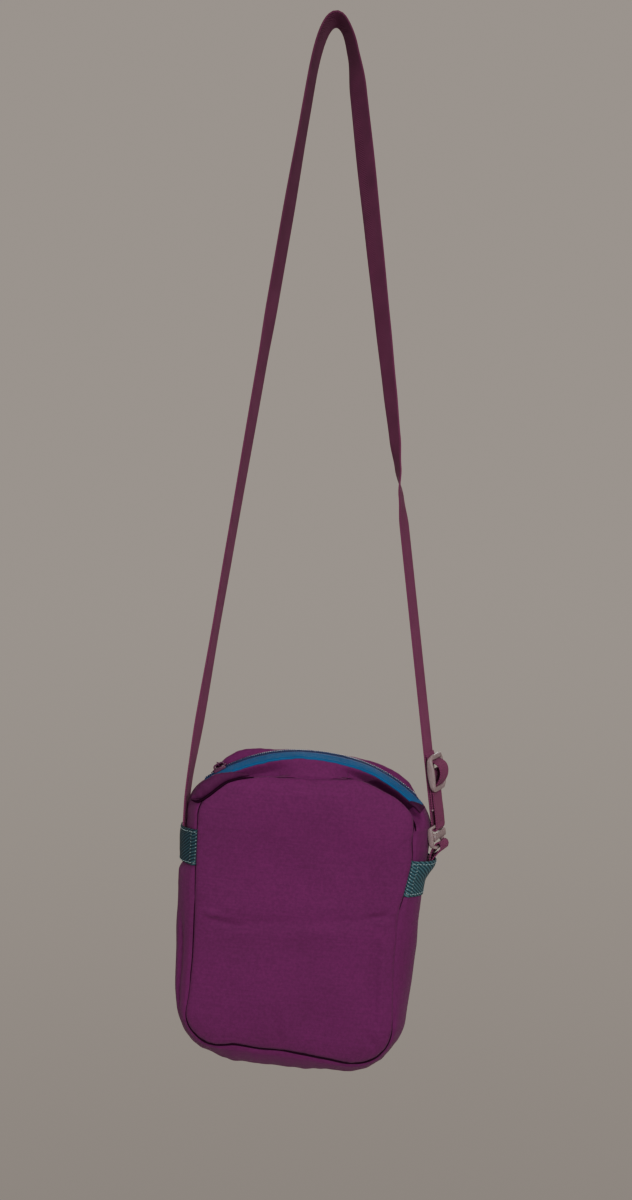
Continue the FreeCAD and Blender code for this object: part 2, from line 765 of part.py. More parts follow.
doc.recompute()
for item in doc.Objects:
    if "Invalid" in item.State or "Error" in item.State:
        raise RuntimeError(f"{item.Name} failed: {item.State}")
os.makedirs("parts", exist_ok=True)
for name, item in sorted(nodes.items()):
    shape = item.Shape
    if shape.isNull() or not shape.isValid():
        raise RuntimeError(f"{name} is not a valid shape")
    bounds = shape.optimalBoundingBox(False)
    print(f"{name}: {len(shape.Solids)} solid(s), {shape.Volume:.0f} mm3, "
          f"x {bounds.XMin:.1f} {bounds.XMax:.1f}, y {bounds.YMin:.1f} {bounds.YMax:.1f}, "
          f"z {bounds.ZMin:.1f} {bounds.ZMax:.1f}")
    shape.exportStep(f"parts/{name}.step")
print(len(nodes), "nodes")
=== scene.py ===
import json
import math

import bmesh
import bpy
from mathutils import Matrix, Vector, noise


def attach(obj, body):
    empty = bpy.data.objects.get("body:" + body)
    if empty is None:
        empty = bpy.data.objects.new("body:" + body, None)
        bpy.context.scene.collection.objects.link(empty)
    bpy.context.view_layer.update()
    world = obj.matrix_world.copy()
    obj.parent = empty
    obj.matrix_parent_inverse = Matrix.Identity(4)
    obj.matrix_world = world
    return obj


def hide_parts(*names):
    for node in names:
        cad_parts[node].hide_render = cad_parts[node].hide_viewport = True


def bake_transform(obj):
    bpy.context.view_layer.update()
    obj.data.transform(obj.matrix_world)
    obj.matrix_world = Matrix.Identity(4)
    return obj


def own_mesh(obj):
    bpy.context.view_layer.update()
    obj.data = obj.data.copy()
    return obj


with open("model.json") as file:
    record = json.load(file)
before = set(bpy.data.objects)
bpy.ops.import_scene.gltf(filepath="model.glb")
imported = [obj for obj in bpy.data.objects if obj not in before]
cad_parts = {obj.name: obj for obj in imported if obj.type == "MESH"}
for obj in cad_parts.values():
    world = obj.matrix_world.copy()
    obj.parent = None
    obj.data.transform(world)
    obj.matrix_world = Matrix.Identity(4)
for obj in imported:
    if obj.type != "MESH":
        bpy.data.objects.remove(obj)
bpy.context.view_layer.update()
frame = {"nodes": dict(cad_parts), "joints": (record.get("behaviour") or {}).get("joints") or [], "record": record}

MM = 0.001
X_AXIS = Vector((1, 0, 0))
Y_AXIS = Vector((0, 1, 0))
Z_AXIS = Vector((0, 0, 1))

# --- The frame's places and sizes, in millimetres -----------------------------

joints = {joint["name"]: joint for joint in frame["joints"]}
POUCH_CENTRE = Vector(joints["zip_travel"]["pos_m"])
POUCH_LEAN = math.radians(5)
STRAP_LEAN = math.radians(6)
STRAP_TWIST = math.radians(28)
TOP_RADIUS = 115
SHOULDER_RADIUS = 25
CORNER_RADIUS = 40
SIDE_DISTANCE = 79.75
SIDE_TAPER = math.radians(3.1)
BOTTOM_DISTANCE = 100.5
SEAM_DEPTH = 17.4
ZIP_ANGLE = math.radians(39.5)
LINK_POINT = Vector((67.8, 0, -558))
WEBBING_WIDTH = 15
WEBBING_THICKNESS = 1.2
CLOTH_THICKNESS = 0.7

pouch_matrix = Matrix.Translation(POUCH_CENTRE) @ Matrix.Rotation(POUCH_LEAN, 4, "Y")
run_matrix = Matrix.Translation(LINK_POINT * MM) @ Matrix.Rotation(-STRAP_LEAN, 4, "Y")
link_matrix = run_matrix @ Matrix.Rotation(-STRAP_TWIST, 4, "Z")


def in_pouch(x, y, z):
    """A point of the pouch's own frame, given in millimetres, in the scene."""
    return pouch_matrix @ (Vector((x, y, z)) * MM)


def in_link(x, y, z):
    """A point of the link's frame: x outward, y across the webbing, z up along the strap."""
    return link_matrix @ (Vector((x, y, z)) * MM)


def smooth(low, high, value):
    """0 below low, 1 above high, and a smooth step between them."""
    part = min(1, max(0, (value - low) / (high - low)))
    return part * part * (3 - 2 * part)


def between(value, start, full, fade, end):
    """0 up to start, 1 from full to fade, and 0 again from end."""
    return smooth(start, full, value) * (1 - smooth(fade, end, value))


def bump(value, centre, width):
    return math.exp(-((value - centre) / width) ** 2)


def turned(table, value):
    """A value read from a short table of places and values, smoothly."""
    for (x0, y0), (x1, y1) in zip(table, table[1:]):
        if value <= x1:
            return y0 + (y1 - y0) * smooth(x0, x1, value)
    return table[-1][1]


def ripple(x, y, z, size):
    """Smooth noise between about -1 and 1, whose lumps are about size millimetres."""
    return noise.noise(Vector((x, y, z)) / size)


# --- Camera, floor and light --------------------------------------------------


def add_camera():
    data = bpy.data.cameras.new("camera")
    data.sensor_fit = "VERTICAL"
    data.sensor_height = 24
    data.lens = 20.38
    data.clip_start = 0.01
    camera = bpy.data.objects.new("camera", data)
    camera.location = (-0.0144, -0.7, -0.404)
    camera.rotation_euler = (math.radians(90), 0, 0)
    bpy.context.scene.collection.objects.link(camera)
    bpy.context.scene.camera = camera


LIGHT_TARGET = Vector((-0.03, 0, -0.6))


def add_light(name, place, size, power, colour):
    """A soft round lamp turned to the pouch."""
    data = bpy.data.lights.new(name, "AREA")
    data.shape = "DISK"
    data.size = size
    data.energy = power
    data.color = colour
    light = bpy.data.objects.new(name, data)
    light.location = place
    light.rotation_euler = (LIGHT_TARGET - Vector(place)).to_track_quat("-Z", "Y").to_euler()
    bpy.context.scene.collection.objects.link(light)


# --- Materials ----------------------------------------------------------------


class Nodes:
    """A node tree, with a short way to add nodes and link them."""

    def __init__(self, tree):
        self.tree = tree

    def add(self, kind, inputs=None, **settings):
        item = self.tree.nodes.new("ShaderNode" + kind)
        for setting, value in settings.items():
            setattr(item, setting, value)
        for socket, value in (inputs or {}).items():
            if isinstance(value, bpy.types.NodeSocket):
                self.tree.links.new(value, item.inputs[socket])
            else:
                item.inputs[socket].default_value = value
        return item

    def math(self, operation, *values):
        return self.add("Math", dict(enumerate(values)), operation=operation).outputs[0]

    def mix(self, factor, first, second):
        """Each of the two is a colour or a socket, and so is the factor a number or a socket."""
        inputs = {0: factor}
        for socket, value in ((6, first), (7, second)):
            inputs[socket] = value if isinstance(value, bpy.types.NodeSocket) else (*value, 1)
        return self.add("Mix", inputs, data_type="RGBA").outputs[2]


class Recipe(Nodes):
    """A material with a Principled shader."""

    def __init__(self, name, roughness, **sockets):
        self.material = bpy.data.materials.new(name)
        self.material.use_nodes = True
        super().__init__(self.material.node_tree)
        self.shader = self.tree.nodes["Principled BSDF"]
        self.shader.inputs["Roughness"].default_value = roughness
        for socket, value in sockets.items():
            self.shader.inputs[socket.replace("_", " ")].default_value = value

    def uv(self):
        return self.add("TexCoord").outputs["UV"]

    def place(self):
        return self.add("TexCoord").outputs["Object"]

    def directions(self):
        """The UV map's two directions, in metres: along the cloth and across it."""
        split = self.add("SeparateXYZ", {"Vector": self.uv()})
        return split.outputs["X"], split.outputs["Y"]

    def noise(self, coordinates, scale, detail):
        inputs = {"Vector": coordinates, "Scale": scale, "Detail": detail}
        return self.add("TexNoise", inputs).outputs["Fac"]

    def grain(self, scale, detail=3.0):
        """Noise all through the piece's own space."""
        return self.noise(self.place(), scale, detail)

    def waves(self, value, period):
        """Smooth ridges along a scalar coordinate in metres, 0 to 1."""
        turns = self.math("MULTIPLY", value, 2 * math.pi / period)
        return self.math("MULTIPLY_ADD", self.math("SINE", turns), 0.5, 0.5)

    def ramp(self, value, dark, light, low=0.0, high=1.0):
        item = self.add("ValToRGB", {"Fac": value})
        for element, position, colour in zip(item.color_ramp.elements, (low, high), (dark, light)):
            element.position = position
            element.color = (*colour, 1)
        return item.outputs["Color"]

    def tones(self, value, colour, dark, light, low=0.0, high=1.0):
        """The colour, from dark times to light times itself, as value goes from low to high."""
        return self.ramp(value, shade(colour, dark), shade(colour, light), low, high)

    def feed(self, name, socket):
        self.tree.links.new(socket, self.shader.inputs[name])

    def relief(self, *heights):
        """Bumps, one on another, from pairs of a height socket and its depth in metres."""
        inputs = {}
        for height, depth in heights:
            inputs.update({"Height": height, "Distance": depth, "Strength": 1.0})
            inputs["Normal"] = self.add("Bump", inputs).outputs["Normal"]
        self.feed("Normal", inputs["Normal"])


def add_world(colour, strength):
    """Soft room light: a little darker toward both sides and below than behind and in front."""
    world = bpy.data.worlds.new("room")
    world.use_nodes = True
    room = Nodes(world.node_tree)
    split = room.add("SeparateXYZ", {0: room.add("TexCoord").outputs["Generated"]})
    levels = []
    for socket, limits in (
        (room.math("ABSOLUTE", split.outputs["X"]), (0.36, 0.9, 1.0, 0.84)),
        (split.outputs["Z"], (-0.75, 0.05, 0.7, 1.0)),
    ):
        inputs = {"Value": socket, **dict(zip(("From Min", "From Max", "To Min", "To Max"), limits))}
        levels.append(room.add("MapRange", inputs, interpolation_type="SMOOTHSTEP").outputs[0])
    background = room.tree.nodes["Background"]
    background.inputs["Strength"].default_value = strength
    tint = room.mix(room.math("MULTIPLY", *levels), (0, 0, 0), colour)
    room.tree.links.new(tint, background.inputs["Color"])
    bpy.context.scene.world = world


def shade(colour, factor):
    return tuple(channel * factor for channel in colour)


def cloth_material(name, colour, period=0.0009, sheen=0.06):
    """Coated plain-weave polyester: fine threads, a slubby streak here and there, and cloudy shading."""
    recipe = Recipe(name, 0.74, Sheen_Weight=sheen, Sheen_Roughness=0.45, Specular_IOR_Level=0.2)
    along, across = [recipe.waves(direction, period) for direction in recipe.directions()]
    weave = recipe.math("ABSOLUTE", recipe.math("SUBTRACT", along, across))
    stretched = recipe.add("Mapping", {"Vector": recipe.uv(), "Scale": (30.0, 900.0, 1.0)}).outputs[0]
    slubs = recipe.noise(stretched, 1.0, 2.0)
    clouds = recipe.grain(28.0, 4.0)
    base = recipe.tones(clouds, colour, 0.82, 1.16, 0.3, 0.7)
    base = recipe.mix(0.45, base, recipe.tones(recipe.grain(520.0), colour, 0.62, 1.42, 0.32, 0.68))
    base = recipe.mix(0.4, base, recipe.tones(weave, colour, 0.5, 1.4))
    recipe.feed("Base Color", recipe.mix(0.1, base, recipe.tones(slubs, colour, 0.7, 1.4, 0.35, 0.65)))
    recipe.feed("Roughness", recipe.math("MULTIPLY_ADD", clouds, 0.2, 0.6))
    recipe.relief((weave, 0.00012), (slubs, 0.00005), (recipe.grain(2200.0, 2.0), 0.00008))
    return recipe.material


def webbing_material(name, colour, half_width):
    """Webbing: small slanting ribs that meet in a herring-bone, with a firmer edge on each side. Painted shade
    makes it darker toward the peg."""
    recipe = Recipe(name, 0.85, Sheen_Weight=0.03, Sheen_Roughness=0.5, Specular_IOR_Level=0.16)
    along, across = recipe.directions()
    side = recipe.math("ABSOLUTE", across)
    ribs = recipe.waves(recipe.math("ADD", along, recipe.math("MULTIPLY", side, 0.9)), 0.0016)
    cords = recipe.waves(across, 0.0011)
    edge = recipe.math("GREATER_THAN", side, half_width - 0.0012)
    height = recipe.add("SeparateXYZ", {"Vector": recipe.place()}).outputs["Z"]
    # Painted shade: with height, toward the peg, the colour is mixed toward a dark copy of itself.
    upper = recipe.add("MapRange", {"Value": height, "From Min": -0.5, "From Max": -0.12}).outputs[0]
    base = recipe.tones(ribs, colour, 0.45, 1.85)
    base = recipe.mix(recipe.math("MULTIPLY", upper, 0.85), base, shade(colour, 0.14))
    base = recipe.mix(0.3, base, recipe.tones(recipe.grain(60.0), colour, 0.75, 1.25, 0.3, 0.7))
    recipe.feed("Base Color", recipe.mix(recipe.math("MULTIPLY", edge, 0.45), base, shade(colour, 0.6)))
    recipe.relief((ribs, 0.00025), (cords, 0.00012), (recipe.grain(1800.0, 2.0), 0.0001))
    return recipe.material


def teal_material(name, colour, light):
    """Woven tape with raised slanting ribs, their tops lighter."""
    recipe = Recipe(name, 0.7, Sheen_Weight=0.04, Sheen_Roughness=0.4, Specular_IOR_Level=0.25)
    along, across = recipe.directions()
    ribs = recipe.waves(recipe.math("ADD", along, recipe.math("MULTIPLY", across, 0.8)), 0.0022)
    threads = recipe.waves(across, 0.0007)
    base = recipe.ramp(ribs, shade(colour, 0.6), light, 0.25, 1.0)
    base = recipe.mix(0.3, base, recipe.tones(threads, colour, 0.7, 1.3))
    clouds = recipe.math("MULTIPLY", recipe.grain(150.0), 0.5)
    recipe.feed("Base Color", recipe.mix(clouds, base, colour))
    recipe.relief((ribs, 0.0003), (threads, 0.0001))
    return recipe.material


def tape_material(name, colour):
    """Zip tape: knitted ribs along it."""
    recipe = Recipe(name, 0.65, Sheen_Weight=0.06, Sheen_Roughness=0.4, Specular_IOR_Level=0.22)
    along, across = recipe.directions()
    ribs = recipe.waves(across, 0.0012)
    base = recipe.tones(ribs, colour, 0.75, 1.3)
    clouds = recipe.tones(recipe.grain(90.0), colour, 0.8, 1.25, 0.3, 0.7)
    recipe.feed("Base Color", recipe.mix(0.4, base, clouds))
    recipe.relief((ribs, 0.0002), (recipe.waves(along, 0.0008), 0.0001))
    return recipe.material


def thread_material(name, colour, sheen=0.2, gloss=0.35):
    recipe = Recipe(name, 0.65, Sheen_Weight=sheen, Specular_IOR_Level=gloss)
    twist = recipe.grain(1500.0, 2.0)
    recipe.feed("Base Color", recipe.tones(twist, colour, 0.7, 1.25, 0.3, 0.7))
    recipe.relief((twist, 0.0001))
    return recipe.material


def plastic_material(name, colour, roughness, subsurface=0.0):
    """Moulded plastic with a faint orange-peel surface and small rubbed patches."""
    recipe = Recipe(name, roughness, Subsurface_Weight=subsurface, Subsurface_Scale=0.002,
                    Subsurface_Radius=(1.0, 0.8, 0.7), Specular_IOR_Level=0.5)
    clouds = recipe.grain(180.0, 4.0)
    recipe.feed("Base Color", recipe.tones(clouds, colour, 0.86, 1.06, 0.3, 0.7))
    recipe.feed("Roughness", recipe.math("MULTIPLY_ADD", recipe.grain(500.0), 0.25, roughness - 0.1))
    recipe.relief((clouds, 0.0001), (recipe.grain(2500.0, 2.0), 0.00002))
    return recipe.material


def floor_material(name, colour):
    recipe = Recipe(name, 0.85, Specular_IOR_Level=0.2)
    recipe.feed("Base Color", recipe.tones(recipe.grain(3.0, 4.0), colour, 0.97, 1.03, 0.3, 0.7))
    return recipe.material


MAGENTA = (0.131, 0.0095, 0.099)
PURPLE_WEBBING = (0.178, 0.034, 0.105)
materials = {
    "cloth": cloth_material("cloth", MAGENTA),
    # A darker copy of the cloth: painted shade for the rolled fold at the left shoulder.
    "cloth_fold_painted_shade": cloth_material("cloth_fold_painted_shade", shade(MAGENTA, 0.66), sheen=0.03),
    # A darker copy of the cloth: painted shade for the recessed zip strip on the right.
    "cloth_painted_shade": cloth_material("cloth_painted_shade", shade(MAGENTA, 0.42), sheen=0.0),
    "lining": cloth_material("lining", shade(MAGENTA, 0.6), sheen=0.05),
    "binding": cloth_material("binding", shade(MAGENTA, 0.4), period=0.0007, sheen=0.05),
    "webbing": webbing_material("webbing", PURPLE_WEBBING, WEBBING_WIDTH / 2 * MM),
    "teal_tape": teal_material("teal_tape", (0.010, 0.044, 0.064), (0.09, 0.22, 0.27)),
    # A darker copy of the tape: painted shade for the left tab.
    "teal_tape_painted_shade": teal_material("teal_tape_painted_shade", (0.004, 0.022, 0.036), (0.038, 0.105, 0.14)),
    "zip_tape": tape_material("zip_tape", (0.004, 0.085, 0.25)),
    "zip_coil": plastic_material("zip_coil", (0.006, 0.022, 0.10), 0.35),
    "thread": thread_material("thread", (0.28, 0.40, 0.43)),
    "seam_thread": thread_material("seam_thread", shade(MAGENTA, 0.8), 0.05, 0.2),
    "seam_shadow": thread_material("seam_shadow", shade(MAGENTA, 0.12), 0.0, 0.05),
    "webbing_end": thread_material("webbing_end", (0.30, 0.17, 0.24)),
    "clear_plastic": plastic_material("clear_plastic", (0.25, 0.185, 0.20), 0.38, subsurface=0.25),
    "slider_metal": plastic_material("slider_metal", (0.085, 0.010, 0.06), 0.4),
    "floor": floor_material("floor", (0.62, 0.60, 0.57)),
}

# --- Meshes -------------------------------------------------------------------


def add_object(name, mesh, material):
    """A smooth object in one material."""
    mesh.materials.append(material)
    mesh.polygons.foreach_set("use_smooth", [True] * len(mesh.polygons))
    piece = bpy.data.objects.new(name, mesh)
    bpy.context.scene.collection.objects.link(piece)
    return piece


def built_object(name, builder, material):
    """An object from a bmesh, which is used up."""
    mesh = bpy.data.meshes.new(name)
    builder.to_mesh(mesh)
    builder.free()
    return add_object(name, mesh, material)


def mesh_object(name, vertices, faces, material, uvs=None):
    """A mesh piece in scene coordinates. uvs gives one pair, in metres, for each vertex."""
    mesh = bpy.data.meshes.new(name)
    mesh.from_pydata([tuple(vertex) for vertex in vertices], [], faces)
    if uvs is not None:
        layer = mesh.uv_layers.new(name="UVMap")
        for loop in mesh.loops:
            layer.data[loop.index].uv = uvs[loop.vertex_index]
    piece = add_object(name, mesh, materials[material])
    mesh.validate()
    return piece


def walls(rings, sides, closed=False):
    """The faces between rings of vertices. closed also joins the last ring to the first."""
    faces = []
    for ring in range(rings if closed else rings - 1):
        low = ring * sides
        high = (ring + 1) % rings * sides
        for side in range(sides):
            following = (side + 1) % sides
            faces.append((low + side, low + following, high + following, high + side))
    return faces


def capped(rings, sides):
    """The same with a face over the first ring and one over the last."""
    last = (rings - 1) * sides
    return walls(rings, sides) + [tuple(reversed(range(sides))), tuple(range(last, last + sides))]


def grid(name, material, rows, columns, point, size):
    """A sheet of quads through point(i, j), with i and j from 0 to 1. size is its extent in millimetres."""
    vertices = []
    uvs = []
    for row in range(rows + 1):
        for column in range(columns + 1):
            i = row / rows
            j = column / columns
            vertices.append(point(i, j))
            uvs.append((i * size[0] * MM, (j - 0.5) * size[1] * MM))
    faces = []
    width = columns + 1
    for row in range(rows):
        for column in range(columns):
            corner = row * width + column
            faces.append((corner, corner + 1, corner + width + 1, corner + width))
    return mesh_object(name, vertices, faces, material, uvs)


def thicken(piece, thickness=CLOTH_THICKNESS, offset=-1.0):
    """Gives a sheet its thickness. The modifier is applied, so the piece is plain mesh."""
    modifier = piece.modifiers.new("thickness", "SOLIDIFY")
    modifier.thickness = thickness * MM
    modifier.offset = offset
    modifier.use_even_offset = False
    graph = bpy.context.evaluated_depsgraph_get()
    mesh = bpy.data.meshes.new_from_object(piece.evaluated_get(graph))
    piece.modifiers.clear()
    piece.data = mesh
    return piece


def join(name, pieces):
    """One object from several that share a material."""
    builder = bmesh.new()
    for piece in pieces:
        builder.from_mesh(piece.data)
    joined = built_object(name, builder, pieces[0].data.materials[0])
    for piece in pieces:
        bpy.data.objects.remove(piece)
    return joined


def belongs(piece, body, slot, *nodes):
    """Attaches a piece to the body it rides on and hides the CAD nodes it stands for. slot, where its finish
    comes from, is not used.
    """
    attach(piece, body)
    if nodes:
        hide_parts(*nodes)
    return piece


def walk(points):
    """Each point of a line, with the line's direction there and the distance along it, in millimetres."""
    run = 0.0
    for index, place in enumerate(points):
        if index:
            run += (place - points[index - 1]).length / MM
        ahead = points[min(index + 1, len(points) - 1)]
        yield place, (ahead - points[max(index - 1, 0)]).normalized(), run


def distances(points):
    """How far along a line each of its points is, in millimetres."""
    return [run for place, tangent, run in walk(points)]


def evenly(points, spacing):
    """The same line with points an even distance apart, in millimetres."""
    lengths = distances(points)
    count = max(2, round(lengths[-1] / spacing))
    result = []
    index = 0
    for step in range(count + 1):
        distance = lengths[-1] * step / count
        while index < len(points) - 2 and lengths[index + 1] < distance:
            index += 1
        part = (distance - lengths[index]) / max(1e-9, lengths[index + 1] - lengths[index])
        result.append(points[index].lerp(points[index + 1], min(1, part)))
    return result


def tube(name, centres, radius, material, sides=6):
    """A round bar through centres, in scene coordinates. radius(part) is in millimetres."""
    vertices = []
    uvs = []
    count = len(centres)
    side_axis = None
    for index, (centre, tangent, run) in enumerate(walk(centres)):
        if side_axis is None:
            side_axis = tangent.orthogonal().normalized()
        side_axis = (side_axis - tangent * side_axis.dot(tangent)).normalized()
        up_axis = tangent.cross(side_axis)
        reach = radius(index / (count - 1)) * MM
        for side in range(sides):
            turn = 2 * math.pi * side / sides
            offset = side_axis * math.cos(turn) + up_axis * math.sin(turn)
            vertices.append(centre + offset * reach)
            uvs.append((run * MM, turn * reach))
    return mesh_object(name, vertices, capped(count, sides), material, uvs)


def stitch_run(name, points, material, length, gap, thickness):
    """A row of stitches that follows points, in scene coordinates: each one a short, fat, rounded thread."""
    lengths = distances(points)

    def at(distance):
        for index in range(len(points) - 1):
            if distance <= lengths[index + 1]:
                part = (distance - lengths[index]) / max(1e-9, lengths[index + 1] - lengths[index])
                return points[index].lerp(points[index + 1], part)
        return points[-1]

    def radius(part):
        return thickness * math.sin(math.pi * (0.12 + 0.76 * part)) ** 0.5

    stitches = []
    start = gap / 2
    while start + length < lengths[-1]:
        centres = [at(start + length * part) for part in (0.0, 0.12, 0.35, 0.65, 0.88, 1.0)]
        stitches.append(tube("stitch", centres, radius, material))
        start += length + gap
    return join(name, stitches)


# --- The pouch's outline ------------------------------------------------------


class Outline:
    """The pouch's outline in its own frame, by distance in millimetres from the top, clockwise."""

    def __init__(self):
        normal = Vector((math.cos(SIDE_TAPER), -math.sin(SIDE_TAPER)))
        along = Vector((math.sin(SIDE_TAPER), math.cos(SIDE_TAPER)))
        inward = SIDE_DISTANCE - SHOULDER_RADIUS
        reach = TOP_RADIUS - SHOULDER_RADIUS
        shoulder = normal * inward + along * math.sqrt(reach**2 - inward**2)
        corner_z = CORNER_RADIUS - BOTTOM_DISTANCE
        corner_x = (SIDE_DISTANCE - CORNER_RADIUS + corner_z * math.sin(SIDE_TAPER)) / math.cos(SIDE_TAPER)
        corner = Vector((corner_x, corner_z))
        bearing = math.atan2(shoulder.x, shoulder.y)
        side_bearing = math.pi / 2 + SIDE_TAPER
        self.pieces = [
            (TOP_RADIUS * bearing, Vector((0, 0)), TOP_RADIUS, 0.0),
            (SHOULDER_RADIUS * (side_bearing - bearing), shoulder, SHOULDER_RADIUS, bearing),
            ((shoulder + normal * SHOULDER_RADIUS - corner - normal * CORNER_RADIUS).length,
             shoulder + normal * SHOULDER_RADIUS, None, side_bearing),
            (CORNER_RADIUS * (math.pi - side_bearing), corner, CORNER_RADIUS, side_bearing),
            (corner_x, Vector((corner_x, -BOTTOM_DISTANCE)), None, math.pi),
        ]
        self.half = sum(piece[0] for piece in self.pieces)
        self.length = 2 * self.half
        self.zip_end = TOP_RADIUS * ZIP_ANGLE

    def at(self, distance):
        """The outline's point and outward normal."""
        distance %= self.length
        mirrored = distance > self.half
        if mirrored:
            distance = self.length - distance
        for length, start, radius, bearing in self.pieces:
            if distance <= length + 1e-9:
                break
            distance -= length
        if radius is None:
            normal = Vector((math.sin(bearing), math.cos(bearing)))
            point = start + Vector((math.cos(bearing), -math.sin(bearing))) * distance
        else:
            turn = bearing + distance / radius
            normal = Vector((math.sin(turn), math.cos(turn)))
            point = start + normal * radius
        if mirrored:
            return Vector((-point.x, point.y)), Vector((-normal.x, normal.y))
        return point, normal


outline = Outline()

# How far the front seam lies inside the outline, clockwise from the top: distance and inset. The seam
# wanders, as the cloth is soft: it turns well in below the right tab and along the bottom, and comes near the
# outline at both bottom corners.
FRONT_SEAM = [
    (0, 16.4), (6, 16), (20, 13.6), (31, 11), (44, 10.4), (54, 10.2), (64, 9.2), (76, 9.8), (84, 11.2),
    (106, 13.6), (121, 11.6), (143, 13.4), (159, 15.6), (172, 14.8), (195, 13.6), (235, 9), (260, 8),
    (289, 11.5), (320, 15), (335, 16.4), (352, 16.4), (372, 17.5), (398, 10), (421, 5.6), (440, 7.4),
    (469, 9), (531, 9), (560, 9.4), (578, 8.8), (592, 8.4), (601, 8.6), (617, 12), (630, 13.8), (641, 15.6),
]


def front_inset(distance):
    """The front seam's inset at a distance along the outline, as a smooth closed curve."""
    distance %= outline.length
    count = len(FRONT_SEAM)
    last = max(index for index in range(count) if FRONT_SEAM[index][0] <= distance)

    def knot(index):
        turns, place = divmod(index, count)
        along, inset = FRONT_SEAM[place]
        return along + turns * outline.length, inset

    (x0, y0), (x1, y1), (x2, y2), (x3, y3) = [knot(last + step) for step in (-1, 0, 1, 2)]
    part = (distance - x1) / (x2 - x1)
    slope_1 = (y2 - y0) / (x2 - x0) * (x2 - x1)
    slope_2 = (y3 - y1) / (x3 - x1) * (x2 - x1)
    square = part * part
    cube = square * part
    return ((2 * cube - 3 * square + 1) * y1 + (cube - 2 * square + part) * slope_1
            + (3 * square - 2 * cube) * y2 + (cube - square) * slope_2)


def seam_point(distance, inset):
    point, normal = outline.at(distance)
    return point - normal * inset


def back_inset(distance):
    return 12.5 + 1.5 * ripple(distance, 0, 7, 60)


def tightness(distance):
    """How deep the front seam is drawn in: less along the slack lower right side."""
    return 1 - 0.6 * between(distance, 150, 172, 212, 234)


def from_top(distance):
    """The signed distance from the top of the outline, positive to the right."""
    distance %= outline.length
    return distance if distance < outline.half else distance - outline.length


def gusset_profile(across, seam):
    """Depth and inset of a plain gusset, bowed from seam to seam. across goes from -1 to 1."""
    part = abs(across)
    depth = SEAM_DEPTH * (1.12 * part - 0.12 * part**3)
    inset = seam * part**1.7
    return math.copysign(depth, across), inset


# The zip's unit, from its crest to a seam: the tape ends at TAPE_PART of the way, this deep and this far in.
TAPE_PART = 0.46
TAPE_DEPTH = 9.4
TAPE_INSET = 3.9
# The back strip's cloth lies folded over its tape, nearly up to the coil.
BACK_FOLD = 0.17


def zip_profile(across, seam):
    """Depth and inset of the zip's unit: a shallow tape on each side of the crest, then a steeper strip."""
    part = abs(across)
    if part < TAPE_PART:
        share = part / TAPE_PART
        depth = TAPE_DEPTH * share
        inset = TAPE_INSET * share**1.25
    else:
        share = (part - TAPE_PART) / (1 - TAPE_PART)
        depth = TAPE_DEPTH + (SEAM_DEPTH - TAPE_DEPTH) * share**1.1
        inset = TAPE_INSET + (seam - TAPE_INSET) * share**0.95
    return math.copysign(depth, across), inset


def lumps(table, value):
    """The sum of some bumps, from a table of places, widths and sizes."""
    return sum(size * bump(value, place, width) for place, width, size in table)


# The humps of the back strip at both shoulders.
BACK_HUMPS = [(-52, 21, 0.6), (60, 23, 0.42)]
# Where the gusset sinks in along the bottom and at its left corner, and where it swells out again (negative).
LOWER_LUMPS = [(331, 75, 0.8), (325, 26, -1.3), (383, 10, 1.2), (418, 14, -1.8)]


def side_point(distance, across):
    """A point of the gusset and zip surface in the pouch's frame, from front seam to back seam."""
    signed = from_top(distance)
    round_about = distance % outline.length
    seam = front_inset(distance) if across < 0 else back_inset(distance)
    tent = 1 - smooth(outline.zip_end - 4, outline.zip_end + 14, abs(signed))
    plain_depth, plain_inset = gusset_profile(across, seam)
    zip_depth, zip_inset = zip_profile(across, seam)
    depth = plain_depth + (zip_depth - plain_depth) * tent
    inset = plain_inset + (zip_inset - plain_inset) * tent
    middle = 1 - across * across
    if across < 0:
        # The front strip is sunk behind the panel's edge on both sides of the top.
        recess = between(signed, 8, 40, 84, 100) + between(-signed, 8, 34, 70, 86)
        strip = between(-across, TAPE_PART, 0.66, 0.84, 1)
        inset += 4.5 * recess * strip
        depth += (6.5 + 1.5 * smooth(10, 50, signed)) * recess * strip
    else:
        # The back strip stands up behind the zip.
        rise = 0.25 * (1 - smooth(66, 92, abs(signed))) + lumps(BACK_HUMPS, signed)
        inset -= 12.0 * rise * between(across, 0.15, 0.5, 0.72, 1)
    crest_zone = 1 - smooth(0.0, 0.3, abs(across)) * tent
    inset += 0.9 * ripple(distance, across * 20, 3, 26) * middle * (1 - tent * crest_zone)
    inset += 0.35 * ripple(distance * 2.2, across * 10, 9, 9) * math.sin(math.pi * abs(across))
    inset += lumps(LOWER_LUMPS, round_about) * middle
    # The lower left and the right side below the tab bow out.
    inset -= 3.8 * between(round_about, 415, 440, 518, 527) * middle
    inset -= 1.4 * between(round_about, 165, 185, 235, 255) * middle
    inset += 1.1 * bump(signed, 4, 32) * tent * (1 - abs(across))
    # A long fold down the gusset's lower left, and small wrinkles along the bottom.
    fold = bump(across, -0.52, 0.1) * between(round_about, 418, 436, 472, 500)
    inset += 1.2 * fold
    wrinkle = ripple(distance * 1.2, across * 7, 17, 9) * middle * smooth(225, 285, abs(signed))
    depth += 1.7 * fold + 1.2 * wrinkle
    inset += 0.5 * wrinkle
    # Both edges are drawn in by their seams.
    edge = smooth(0.87, 1.0, abs(across))
    inset += 0.5 * edge
    depth -= math.copysign(1.7 * edge * tightness(round_about), across)
    place = seam_point(distance, inset)
    return Vector((place.x, depth, place.y))


def side_scene_point(distance, across, lift=0.0):
    """The same in the scene, lifted off the surface by some millimetres."""
    place = side_point(distance, across)
    if lift:
        ahead = side_point(distance + 1.0, across) - side_point(distance - 1.0, across)
        over = side_point(distance, min(1, across + 0.04)) - side_point(distance, max(-1, across - 0.04))
        place = place + ahead.cross(over).normalized() * lift
    return in_pouch(*place)


def side_line(start, end, across, lift, count):
    """Points along the pouch's side at one place across it."""
    places = [start + (end - start) * index / count for index in range(count + 1)]
    return [side_scene_point(distance, across, lift) for distance in places]


